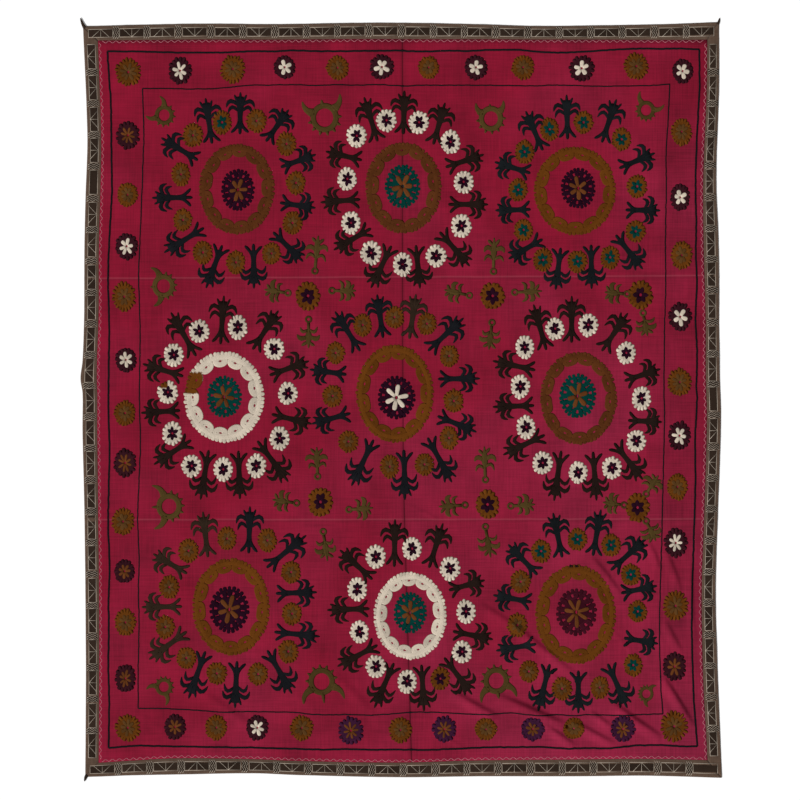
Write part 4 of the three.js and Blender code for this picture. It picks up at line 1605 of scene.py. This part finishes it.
# %% Medallion table
# All in photo pixels. ring and hole: radii outside and inside. star: thread, petals,
# degrees of the first one and reach as a share of the heart. trees: tip of the crown
# and foot of each, in order round the ring. rosettes: the one after each tree.
MEDALLIONS = {
    "top_left": {
        "middle": (236.8, 189.1), "ring": (37.9, 45.5), "hole": (24.5, 31.5), "ring_thread": BROWN_OLIVE,
        "heart_middle": (238, 189.8), "heart": (16.7, 21), "heart_thread": PLUM,
        "star": (GOLD, 6, 8, 0.54), "tree_thread": NAVY,
        "rosette": (OLIVE, GREY_OLIVE), "odd_flowers": [0], "odd_thread": TEAL,
        "trees": [(240.5, 92, 240, 133.5), (205.5, 98, 212, 143), (161.5, 138, 197.5, 160),
            (152, 198, 191.5, 197.5), (164.5, 252.5, 203, 228.5), (206, 288.5, 222, 246),
            (254, 288.5, 253.5, 245), (303, 261.5, 274, 233), (315.5, 208, 281, 203),
            (316, 154.5, 281.5, 167), (289, 109.5, 266.5, 141)],
        "rosettes": [(222, 122.5), (193, 135.5), (181, 174.5), (183, 220), (203, 252.5), (236, 262.5),
            (271.5, 253.5), (292.5, 223), (296, 183), (286.5, 144), (256.5, 121)],
    },
    "top_middle": {
        "middle": (403.5, 187.8), "ring": (38.4, 45.5), "hole": (24, 32), "ring_thread": BROWN_OLIVE,
        "heart_middle": (402.7, 186.5), "heart": (17.7, 22), "heart_thread": TEAL,
        "star": (GOLD, 6, 6, 0.6), "tree_thread": BLACK,
        "rosette": (WHITE, PLUM),
        "trees": [(404.5, 91, 403.5, 133.5), (445, 103, 433.5, 144), (484, 154.5, 446.5, 167),
            (488.5, 204.5, 449, 204.5), (469.5, 266, 440, 232.5), (420, 288.5, 416, 246.5),
            (371, 288, 391, 246.5), (334, 250, 370, 229), (320.5, 202.5, 359.5, 199.5),
            (325.5, 151.5, 361, 160), (364, 97, 377.5, 141)],
        "rosettes": [(419, 122.5), (450.5, 142), (463.5, 182), (461.5, 226), (436, 256), (402.5, 264.5),
            (371, 253), (351, 223), (347.3, 179), (356.7, 136), (386.5, 120.5)],
    },
    "top_right": {
        "middle": (574.9, 190.8), "ring": (41, 44.5), "hole": (28, 30.5), "ring_thread": OLIVE,
        "heart_middle": (578.2, 188.4), "heart": (17.4, 20.3), "heart_thread": PLUM,
        "star": (GOLD, 6, 36, 0.56), "tree_thread": DARK_TEAL,
        "rosette": (OLIVE, TEAL),
        "trees": [(566.5, 95, 567.5, 138.5), (616.5, 99, 602, 142), (655, 153, 620, 168),
            (660, 210.5, 626, 210), (642.5, 269, 616, 235.5), (591.5, 289, 591, 245.5),
            (555.5, 290, 560.5, 249), (508.5, 259, 542, 239.5), (495, 210.5, 530, 209.5),
            (494.5, 162, 529.5, 173), (525.5, 111, 542.5, 150)],
        "rosettes": [(583.5, 122.5), (621.5, 139.5), (637, 186.5), (635.5, 231.5), (610, 257.5),
            (577.5, 261.5), (543, 260), (523.5, 230), (518, 190), (524.5, 152), (549.5, 129.5)],
    },
    "middle_left": {
        "middle": (224.3, 397), "ring": (40.3, 45.7), "hole": (25, 29.5), "ring_thread": WHITE,
        "heart_middle": (224.3, 396.9), "heart": (17.4, 20.8), "heart_thread": TEAL,
        "star": (GOLD, 6, 48, 0.57), "tree_thread": BLACK,
        "rosette": (WHITE, PLUM), "patch": ((193.5, 383), (9.5, 10.7)),
        "rosette_patch": ((163.8, 384.5), (4.6, 3.6)),
        "trees": [(224, 295.5, 220.7, 343), (278.5, 310.5, 253, 349), (309, 361, 270.5, 375),
            (312, 424, 272.5, 414.5), (288.5, 482, 258.3, 442), (240, 499.5, 238.5, 452),
            (200.5, 500, 208.5, 451.5), (154, 464.5, 190.5, 440.5), (141, 413, 179.5, 410.5),
            (143, 364, 182.5, 376), (171, 312.5, 195.5, 355)],
        "rosettes": [(238, 327.3), (274.3, 349), (288.1, 393.4), (279.6, 438.3), (256.4, 466),
            (223.3, 469.4), (191.7, 466), (172.4, 433.4), (167.9, 392.3), (173.9, 355), (199.3, 331.3)],
    },
    "centre": {
        "middle": (394.9, 393.4), "ring": (39, 49), "hole": (25.7, 33), "ring_thread": OLIVE,
        "heart_middle": (396.4, 397.6), "heart": (18.8, 21.8), "heart_thread": PLUM,
        "star": (WHITE, 6, 16, 0.62), "tree_thread": NAVY,
        "rosette": (OLIVE, GREY_OLIVE), "odd_trees": [1],
        "trees": [(377, 294, 383, 337), (416, 294, 409.5, 338), (463.5, 318, 429, 350),
            (480, 378.5, 439, 379), (476.5, 432, 438.5, 416.5), (452, 482.5, 428, 438.5),
            (405, 499.5, 404, 451), (351.5, 486, 373, 441), (311.5, 424, 349.5, 413.5),
            (310, 369.5, 346, 374.5), (335, 311.5, 359.5, 350)],
        "rosettes": [(394.4, 317.3), (426.9, 323.7), (449, 356), (453.7, 401), (449, 438),
            (424.4, 464.4), (389.7, 466.6), (348.4, 441.6), (332.6, 396), (335.6, 353), (362.6, 325)],
    },
    "middle_right": {
        "middle": (578.6, 398.3), "ring": (38.6, 46.4), "hole": (26.6, 33), "ring_thread": BROWN_OLIVE,
        "heart_middle": (577.5, 396), "heart": (18.5, 22.4), "heart_thread": TEAL,
        "star": (GOLD, 6, 17, 0.58), "tree_thread": BLACK,
        "rosette": (WHITE, PLUM),
        "trees": [(571.7, 295.9, 571.5, 342), (627.5, 313.5, 602.5, 350), (660, 369, 625.5, 380.5),
            (662, 422, 628.5, 420.5), (643, 480, 614.5, 443.5), (596.5, 500.5, 593, 453),
            (554, 501, 561, 452), (503, 455, 543.5, 435.5), (492.5, 407, 533.5, 405.5),
            (493, 361, 534.5, 370), (533.5, 304.5, 546, 349)],
        "rosettes": [(588.1, 325), (626.1, 353), (641.4, 398.3), (636.1, 441), (611.9, 467.6),
            (578.1, 472.3), (542.6, 463), (526.1, 427.3), (520.3, 386.6), (524.7, 347.3), (555, 328.7)],
    },
    "bottom_left": {
        "middle": (231.2, 606.6), "ring": (38.8, 48.4), "hole": (25.8, 33.4), "ring_thread": OLIVE,
        "heart_middle": (229.4, 609.5), "heart": (19.6, 23.1), "heart_thread": PLUM,
        "star": (GOLD, 6, 14, 0.6), "tree_thread": NAVY,
        "rosette": (OLIVE, GREY_OLIVE), "odd_trees": [0, 8, 9, 10],
        "trees": [(202.9, 511.4, 207.9, 556.5), (250, 506.4, 248.8, 552.5), (306, 535.5, 267.5, 567),
            (317.1, 592.1, 276.4, 593.4), (320, 636.4, 275.7, 632), (292.1, 693.6, 268, 651.4),
            (235, 707.9, 237, 662), (188.6, 698.6, 205, 652.5), (149.3, 659.3, 186, 632),
            (141.4, 607.1, 181.2, 606.4), (153, 553.6, 186.3, 573)],
        "rosettes": [(227.1, 538.6), (267.4, 540.4), (291.1, 572.1), (292.1, 613.6), (288.3, 651.4),
            (258.1, 674), (216.9, 673.3), (186.4, 657.9), (165.4, 626.9), (169.3, 587.1), (188.6, 550.7)],
    },
    "bottom_middle": {
        "middle": (410.3, 615.6), "ring": (36.6, 43.8), "hole": (22.8, 29.2), "ring_thread": WHITE,
        "heart_middle": (410.1, 612.6), "heart": (16.6, 20.6), "heart_thread": TEAL,
        "star": (GOLD, 6, 19, 0.55), "tree_thread": BLACK,
        "rosette": (WHITE, PLUM), "odd_rosettes": [4],
        "trees": [(395, 519.3, 394.3, 565.7), (442.9, 523.6, 429.3, 567), (485, 580, 449.5, 590),
            (492.9, 639.3, 453.6, 631.4), (472, 694.3, 445, 658.6), (424, 710.7, 421.5, 665.7),
            (374.3, 707.9, 393.6, 663.6), (337.4, 666.4, 377, 645.3), (327.1, 610, 368.6, 608.6),
            (340, 550, 372, 579)],
        "rosettes": [(412.1, 548.6), (450.1, 568.3), (466, 611.4), (462.1, 651.7), (440.3, 678.6),
            (407.1, 681.1), (376, 666.4), (359.6, 631.7), (357.3, 589), (375.9, 556.9)],
    },
    "bottom_right": {
        "middle": (575.6, 614.4), "ring": (40.3, 49.8), "hole": (27, 33.6), "ring_thread": OLIVE,
        "heart_middle": (576.2, 612), "heart": (20.3, 23.7), "heart_thread": MAROON,
        "star": (GOLD, 7, 18, 0.61), "tree_thread": DARK_TEAL,
        "rosette": (OLIVE, TEAL), "odd_flowers": [5, 6, 7, 8, 9], "odd_thread": GREY_OLIVE,
        "trees": [(553, 512.9, 562, 556.7), (600.9, 509.3, 593, 555), (646.6, 538, 611.5, 569.5),
            (657.3, 585.7, 621.5, 592.9), (658, 643.6, 624.4, 638), (627.3, 708, 608, 664.5),
            (578.3, 713, 578.3, 671.5), (538, 710.7, 549.4, 665), (496, 650.7, 535, 644),
            (493, 595, 531, 602), (508, 544.3, 537, 574.3)],
        "rosettes": [(577.3, 539.3), (610.9, 545), (630.6, 574.6), (637.6, 611.4), (633, 665),
            (599.7, 687.4), (561.9, 688.6), (528.7, 671.4), (517.3, 625), (520.6, 581.7), (540.9, 551.1)],
    },
}
SCALLOPS = 13
TEETH_PER_SCALLOP = 5
HEART_TEETH = 26
HEART_EYES = 7

# %% Ring of a medallion
EYE_SHARE = 0.42
RIM_SHARE = 0.67


def eye_cells(middle, eyes, count, inwards, outwards, eye, rows):
    """Closed bands round eyes that stand at even angles on an ellipse. Each runs
    midway between its eye and an outer line that reaches inwards, outwards and half
    of the way to its neighbours; its half width is half the distance between them.
    eye: half sizes of the open middle, along and across the radius."""
    turns = np.arange(count) * 2 * np.pi / count + RANDOM.uniform(0, 0.4)
    centres = ellipse_points(middle, eyes, turns)
    away = np.stack([np.cos(turns) / eyes[0], np.sin(turns) / eyes[1]], axis=-1)
    away /= np.hypot(*away.T)[:, None]
    aside = np.stack([-away[:, 1], away[:, 0]], axis=-1)
    gaps = np.hypot(*(np.roll(centres, -1, 0) - centres).T)
    wide = (gaps + np.roll(gaps, 1)) / 4 * 1.1
    angles = np.linspace(0, 2 * np.pi, 22, endpoint=False)
    cos, sin = np.cos(angles), np.sin(angles)
    deep = np.where(cos > 0, outwards, inwards)
    mid_deep = ((deep + eye[0]) * cos / 2)[None, :, None]
    mid_wide = ((wide[:, None] + eye[1]) * sin / 2)[..., None]
    lines = centres[:, None] + mid_deep * away[:, None] + mid_wide * aside[:, None]
    half_deep = (deep - eye[0]) * cos / 2
    half_wide = (wide[:, None] - eye[1]) * sin / 2
    return lay_bands(lines, np.hypot(half_deep, half_wide), rows, closed=True)


def ring_bands(row):
    """Cells with eyes, a rim over their outer half, and the outer teeth."""
    middle = spot(*row["middle"])
    outer = np.array(row["ring"]) * PIXEL
    hole = np.array(row["hole"]) * PIXEL
    thickness = outer - hole
    reach = EYE_SHARE * thickness.mean()
    eye = (0.6 * PIXEL, 0.95 * PIXEL)
    teeth = SCALLOPS * TEETH_PER_SCALLOP
    tooth_from = 1 - 0.42 * (thickness / outer).mean()
    tooth_half = 1.34 * np.pi * outer.mean() * 0.95 / teeth
    turn = RANDOM.uniform(0, 1, 1)
    rim_half = thickness.mean() * 0.16
    return [
        eye_cells(middle, hole + EYE_SHARE * thickness, SCALLOPS, reach, reach / 2, eye, 3),
        loop_bands([middle], [hole + RIM_SHARE * thickness], rim_half, 3, 120, lift=0.1 * MM),
        petal_bands([middle], [outer], tooth_from, 1.0, teeth, tooth_half, turn, wobble=0.015, stations=6),
    ]


def fade_patch(bands, patch):
    """Marks the points inside a rectangle as faded: 1 inside, 0 outside."""
    middle, halves = spot(*patch[0]), np.array(patch[1]) * PIXEL
    for band in bands:
        off = np.abs(band["points"][..., :2] - middle) / halves
        band["faded"] = np.where(off.max(axis=-1) < 1, 1.0, band["faded"])
    return bands


# %% Heart of a medallion
def heart_bands(row):
    """Teeth, a rim, cells with long eyes, and an inner disc."""
    middle = spot(*row["heart_middle"])
    radii = np.array(row["heart"]) * PIXEL
    mean = radii.mean()
    eye = (1.6 * PIXEL, 0.25 * PIXEL)
    tooth_half = 1.04 * np.pi * mean * 0.9 / HEART_TEETH
    return [
        loop_bands([middle], [radii * 0.32], mean * 0.27, 4, 36),
        eye_cells(middle, radii * 0.71, HEART_EYES, 0.22 * mean, 0.15 * mean, eye, 2),
        loop_bands([middle], [radii * 0.83], mean * 0.07, 1, 48),
        petal_bands([middle], [radii], 0.78, 1.01, HEART_TEETH, tooth_half, [0.1], wobble=0.03, stations=6),
    ]


def star_bands(row):
    """The petals of the star on a heart: the fewer they are, the wider."""
    middle = spot(*row["heart_middle"])
    radii = np.array(row["heart"]) * PIXEL
    _, petals, turn, reach = row["star"]
    half = 31 * reach / petals * PIXEL
    return rosette_flower([middle], [radii], petals, half, 0.08, reach, turn=[np.radians(turn)])


# %% [markdown]
# ### Trees
#
# A tree stands with its roots to the ring and its crown outwards. It is drawn
# once, upright, in pixels from the tip of its crown, as a table of strokes:
# fingers, two pairs of drooping fronds, a trunk and three roots. Each tree is
# then turned and stretched between its own tip and foot in one array sum.

# %% Tree strokes
# Columns: start, bend and end (across, below the tip), half width, outline, rows.
TREE_TRUNK = [((0, 5), (0, 20), (0, 38), 5.0, "trunk", 4)]
TREE_STROKES = [
    ((0, 12), (0, 6), (0, 0), 1.85, "finger", 1),
    ((1, 14), (3.4, 8.5), (6.2, 3), 1.85, "finger", 1),
    ((1.5, 14.5), (11.2, 4), (13.6, 16), 2.6, "leaf", 2),
    ((2, 20), (9.6, 10.4), (11.8, 22.2), 2.3, "leaf", 2),
    ((0, 32), (0, 38), (0, 44), 2.3, "root", 1),
    ((1.2, 31), (2.6, 37.5), (8.6, 42), 2.25, "root", 1),
]
TREE_LENGTH = 43.0


def both_sides(strokes):
    """The strokes and their mirror images, without doubling those in the middle."""
    mirrored = [
        tuple((-x, y) for x, y in stroke[:3]) + stroke[3:] for stroke in strokes if stroke[2][0] != 0
    ]
    return strokes + mirrored


def placed_strokes(strokes, tips, feet, length, lift=0.0, spread=0.05):
    """Strokes drawn between (0, 0) and (0, length), laid on every pair of tip and
    foot. Across is turned a quarter from the line between them."""
    run = feet - tips
    reach = np.hypot(*run.T)[:, None]
    down = run / reach
    across = np.stack([-down[:, 1], down[:, 0]], axis=-1)
    bands = []
    for start, bend, end, half, kind, rows in strokes:
        placed = []
        for x, y in (start, bend, end):
            wide = x * PIXEL * RANDOM.uniform(1 - spread, 1 + spread, (len(tips), 1))
            below = (y + RANDOM.uniform(-spread, spread, (len(tips), 1)) * 8) / length * reach
            placed.append(tips + across * wide + down * below)
        stations = 13 if rows > 2 else 7
        bands.append(stroke_bands(*placed, half * PIXEL, kind, rows, stations, lift=lift))
    return bands


def tree_bands(row):
    """All the trees of a medallion, with the odd ones marked as faded."""
    trees = np.array(row["trees"], float)
    tips, feet = spot(*trees[:, :2].T), spot(*trees[:, 2:].T)
    bands = placed_strokes(TREE_TRUNK + both_sides(TREE_STROKES), tips, feet, TREE_LENGTH)
    for band in bands:
        band["faded"][row.get("odd_trees", [])] = 1.0
    return bands


# %% Make the medallions
ROSETTE_RADII = (10.1, 11.9)
medallion_pieces = {}
for name, row in MEDALLIONS.items():
    made = []
    ring = ring_bands(row)
    if "patch" in row:
        fade_patch(ring, row["patch"])
    made.append(stitched_piece("ring_" + name, ring, row["ring_thread"]))
    made.append(stitched_piece("heart_" + name, heart_bands(row), row["heart_thread"]))
    made.append(stitched_piece("star_" + name, [star_bands(row)], row["star"][0]))
    made.append(stitched_piece("trees_" + name, tree_bands(row), row["tree_thread"]))
    places = spots(row["rosettes"])
    radii = uneven(ROSETTE_RADII, len(places))
    body_thread, flower_thread = row["rosette"]
    body = rosette_body(places, radii, 15 if body_thread is WHITE else 18)
    for band in body:
        odd = row.get("odd_rosettes", [])
        per_rosette = band["faded"].shape[0] // len(places)
        marked = np.repeat(np.isin(np.arange(len(places)), odd), per_rosette)
        band["faded"][marked] = 1.0
    if "rosette_patch" in row:
        fade_patch(body, row["rosette_patch"])
    made.append(stitched_piece("rosettes_" + name, body, body_thread))
    odd = np.isin(np.arange(len(places)), row.get("odd_flowers", []))
    both = ((~odd, flower_thread, "flowers_"), (odd, row.get("odd_thread"), "odd_flowers_"))
    for chosen, thread, label in both:
        if chosen.any():
            flower = rosette_flower(places[chosen], radii[chosen], 6, 2.15 * PIXEL, kind="leaf")
            made.append(stitched_piece(label + name, [flower], thread))
    medallion_pieces[name] = made
print("medallions:", len(medallion_pieces))

# %% [markdown]
# ## Fillers
#
# Between the medallions stand larger rosettes, each with two to four small plants
# round it, and horned rings along the edge of the field. They reuse the same
# strokes, petals and loops.

# %% Filler rosettes and plants
FILLER_ROSETTES = [(308, 296), (492.5, 296), (640.4, 295), (320.4, 502), (487.4, 504.5), (637.4, 507.6)]
FILLER_RADII = (12.2, 14.6)
# Pairs of places in photo pixels: middle of the crown, middle of the end ring.
PLANTS = [
    ((317.5, 245), (315, 271)), ((274, 291), (288, 293)), ((308.6, 338.6), (308.6, 319.4)),
    ((346.7, 290.7), (332, 290.7)), ((494, 247), (493.5, 271.5)), ((453.5, 292), (469.4, 295.5)),
    ((531.5, 291.5), (514.7, 292.3)), ((490, 340), (492, 322.6)), ((614, 293), (627, 294)),
    ((645.5, 326), (643, 313)), ((317, 456.5), (317.7, 476.5)), ((282, 501), (296.6, 503)),
    ((363, 508.5), (349, 509.5)), ((326, 550.5), (323.3, 531.6)), ((484.6, 455.7), (485.4, 479.7)),
    ((448.8, 506), (465, 505)), ((525, 505), (510.7, 506)), ((489, 547.7), (485.4, 526.7)),
    ((652.6, 484), (646, 494)), ((613, 503.6), (624, 505)), ((651.4, 532), (646, 521)),
]
PLANT_STROKES = [
    ((0, 27.5), (0, 13), (0, 0), 2.1, "finger", 1),
    ((0, 19), (0, 12), (0, 3), 3.8, "leaf", 2),
    ((0.5, 8), (4.2, 4.2), (6.4, 2.6), 2.2, "leaf", 1),
    ((0.5, 13), (8.2, 6), (10.4, 14), 2.9, "leaf", 2),
    ((0.5, 20), (7, 13), (9.2, 21.5), 2.4, "leaf", 1),
]
PLANT_LENGTH = 30.0
CROWN_LENGTH = 10.0
END_RING_RADIUS = 3.8


def plant_bands():
    """Every small plant: strokes from its tip to its end ring, and the ring."""
    crowns = spots([pair[0] for pair in PLANTS])
    rings = spots([pair[1] for pair in PLANTS])
    run = crowns - rings
    outwards = run / np.hypot(*run.T)[:, None]
    tips = crowns + outwards * CROWN_LENGTH * PIXEL
    bands = placed_strokes(both_sides(PLANT_STROKES), tips, rings, PLANT_LENGTH, spread=0.12)
    radii = np.full((len(rings), 2), END_RING_RADIUS * 0.7 * PIXEL)
    bands.append(loop_bands(rings, radii, END_RING_RADIUS * 0.4 * PIXEL, 1, 14))
    return bands


filler_places = spots(FILLER_ROSETTES)
filler_radii = uneven(FILLER_RADII, len(filler_places))
filler_pieces = [
    stitched_piece("filler_rosettes", rosette_body(filler_places, filler_radii, 16), OLIVE),
    stitched_piece(
        "filler_flowers", [rosette_flower(filler_places, filler_radii, 6, 2.9 * PIXEL, kind="leaf")], PLUM
    ),
    stitched_piece("plants", plant_bands(), GREEN_OLIVE),
]

# %% Horned rings
# A horned ring has teeth on its far side and two curved horns on the side it faces.
# Columns: middle in photo pixels, degrees it faces, degrees from there to the tip of
# a horn, then in pixels the reach of the horns, the radius of the hole, and the
# reach of the spike between the horns (0 for none).
HORNED_RINGS = [
    ((164.3, 115.2), 143, 39, 18.5, 5.0, 0), ((324.7, 117.7), 101, 45, 27, 8.2, 17.4),
    ((491, 118.7), 95, 41, 21, 6.5, 14), ((646, 110.2), 62, 46, 18.7, 4.8, 0),
    ((163.7, 286), 185, 58, 21.5, 6.0, 13.4), ((169.3, 506.3), 183, 52, 26, 6.8, 17.5),
    ((164, 686.7), 232, 44, 17.7, 4.5, 0), ((321.7, 681.3), 277, 47, 28, 7.4, 21),
    ((496.2, 680.5), 279, 44, 25.5, 7.0, 17.5), ((646.3, 693.7), 338, 60, 12.5, 3.8, 0),
]
RING_TEETH = 9


def polar(middle, degrees, reach):
    """Point at an angle and a distance in pixels from a middle."""
    angle = np.radians(degrees)
    return middle + np.array([np.cos(angle), np.sin(angle) * 1.05]) * reach * PIXEL


def horned_ring_bands(row):
    """A ring with teeth on one side and two curved horns on the other."""
    middle = spot(*row[0])
    facing, spread, reach, hole, spike = row[1:]
    half = min(3.2, 0.48 * hole)
    core, edge = hole + half, hole + 2 * half
    bands = [loop_bands([middle], [np.array([1, 1.05]) * core * PIXEL], half * PIXEL, 2, 30)]
    ways = facing + 180 + np.linspace(-1, 1, RING_TEETH) * (156 - spread)
    tooth_reaches = (edge - 1, edge + 0.3 * hole + 0.4)
    roots, ends = (np.array([polar(middle, way, far) for way in ways]) for far in tooth_reaches)
    bands.append(stroke_bands(roots, (roots + ends) / 2, ends, (0.2 * hole + 0.9) * PIXEL, "horn", 1, 5))
    path = ((spread + 8, core), (spread + 22, 0.75 * reach), (spread, reach))
    horns = [np.array([polar(middle, facing + s * angle, far) for s in (-1, 1)]) for angle, far in path]
    bands.append(stroke_bands(*horns, (0.44 * hole + 1.1) * PIXEL, "horn", 2, 9))
    if spike:
        line = [np.array([polar(middle, facing, far)]) for far in (core, (core + spike) / 2, spike)]
        bands.append(stroke_bands(*line, (0.25 * hole + 1) * PIXEL, "horn", 1, 5))
    return bands


# Four short dark stitches above the lower right ring, from foot to tip.
STRAY = [((569.8, 567.4), (570.5, 564.6)), ((572.2, 567.2), (571.8, 565)), ((575.4, 567), (575.8, 564.8)),
         ((577.8, 567.2), (577.2, 565))]
stray_feet, stray_tips = (spots([pair[k] for pair in STRAY]) for k in (0, 1))
stray = stroke_bands(
    stray_feet, (stray_feet + stray_tips) / 2, stray_tips, 1.1 * PIXEL, "finger", 1, 5, lift=0.7 * MM
)
filler_pieces.append(stitched_piece("stray_stitches", [stray], BLACK))
horned = [band for row in HORNED_RINGS for band in horned_ring_bands(row)]
filler_pieces.append(stitched_piece("horned_rings", horned, GREEN_OLIVE))
print("fillers:", len(PLANTS), "plants,", len(HORNED_RINGS), "horned rings")

# %% [markdown]
# ## What belongs to which sheet
#
# Cloth is declared with its size when flat, a guess from the solids. Embroidery
# is named with a length of cloth that it lies on. Pieces that lie on both, such
# as the border and the medallions on the seam, are named with one of the two.

LEFT_MEDALLIONS = ("top_left", "middle_left", "bottom_left", "centre")
on_left, on_right = [], []
for name, made in medallion_pieces.items():
    (on_left if name in LEFT_MEDALLIONS else on_right).extend(made)
on_left += [seam, outer_frame, wave, *border_pieces]
on_right += [inner_frame, *filler_pieces]
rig.sheet(cloth_left, flat=(1.02, 2.42), held="laid", with_pieces=on_left)
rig.sheet(cloth_right, flat=(1.01, 2.42), held="laid", with_pieces=on_right)
TAPE_CUT = 0.05
for side, length in (("left", 2.52), ("right", 2.52), ("top", 2.13), ("bottom", 2.13)):
    extra = [tail for tail in tails if tail.name.endswith(side)]
    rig.sheet(tapes[side], flat=(TAPE_CUT, length), held="laid", with_pieces=tape_stitching[side] + extra)

# %% [markdown]
# ## Floor, light and camera
#
# The photo looks straight down on the spread against plain white. A long lens
# high above keeps its edges straight. One soft sun from the lower left gives the
# folds a light and a dark side, and an even sky fills the rest.

# %% Floor
FLOOR_HALF = 6.0
FLOOR_DROP = 0.3 * MM
corners = np.array([(-1, -1), (1, -1), (1, 1), (-1, 1)]) * FLOOR_HALF
floor_points = np.concatenate([corners, np.full((4, 1), -FLOOR_DROP)], axis=1)
floor = mesh_object("floor", floor_points, np.array([[0, 1, 2, 3]]))
floor_material = bpy.data.materials.new("pale_floor")
floor_material.use_nodes = True
floor_shader = floor_material.node_tree.nodes["Principled BSDF"]
floor_shader.inputs["Base Color"].default_value = (0.97, 0.97, 0.97, 1)
floor_shader.inputs["Roughness"].default_value = 0.9
floor_shader.inputs["Emission Color"].default_value = (1, 1, 1, 1)
floor_shader.inputs["Emission Strength"].default_value = 0.06
floor.data.materials.append(floor_material)
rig.stage(floor)

# %% Light
world = bpy.data.worlds.new("studio")
bpy.context.scene.world = world
world.use_nodes = True
world.node_tree.nodes["Background"].inputs["Color"].default_value = (1, 1, 1, 1)
world.node_tree.nodes["Background"].inputs["Strength"].default_value = 0.26

sun_data = bpy.data.lights.new("soft_sun", "SUN")
sun_data.energy = 3.55
sun_data.angle = 0.2
sun = bpy.data.objects.new("soft_sun", sun_data)
sun.rotation_euler = Vector((0.6, 0.44, -0.67)).to_track_quat("-Z", "Y").to_euler()
bpy.context.scene.collection.objects.link(sun)
bpy.context.scene.view_settings.view_transform = "Standard"

# %% Camera
PHOTO_SIZE = 800
LENS = 100.0
camera_data = bpy.data.cameras.new("photo_view")
camera_data.lens = LENS
camera_data.sensor_width = 36.0
camera_data.clip_end = 100.0
camera = bpy.data.objects.new("photo_view", camera_data)
half_frame = PHOTO_SIZE * PIXEL / 2
distance = half_frame / (camera_data.sensor_width / 2 / LENS)
photo_centre = spot(PHOTO_SIZE / 2, PHOTO_SIZE / 2)
camera.location = (*photo_centre, distance)
bpy.context.scene.collection.objects.link(camera)
bpy.context.scene.camera = camera
print("camera height:", round(distance, 2), "m")

# %% Sizes and finish
visual_low, visual_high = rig.bounds()
sizes = {
    "cad": [list(CAD_LOW), list(CAD_HIGH)],
    "visual": [list(visual_low), list(visual_high)],
}
with open("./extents.json", "w") as size_file:
    json.dump(sizes, size_file)
faces = sum(len(o.data.polygons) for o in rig.pieces() if o.type == "MESH")
print("visual faces:", faces)
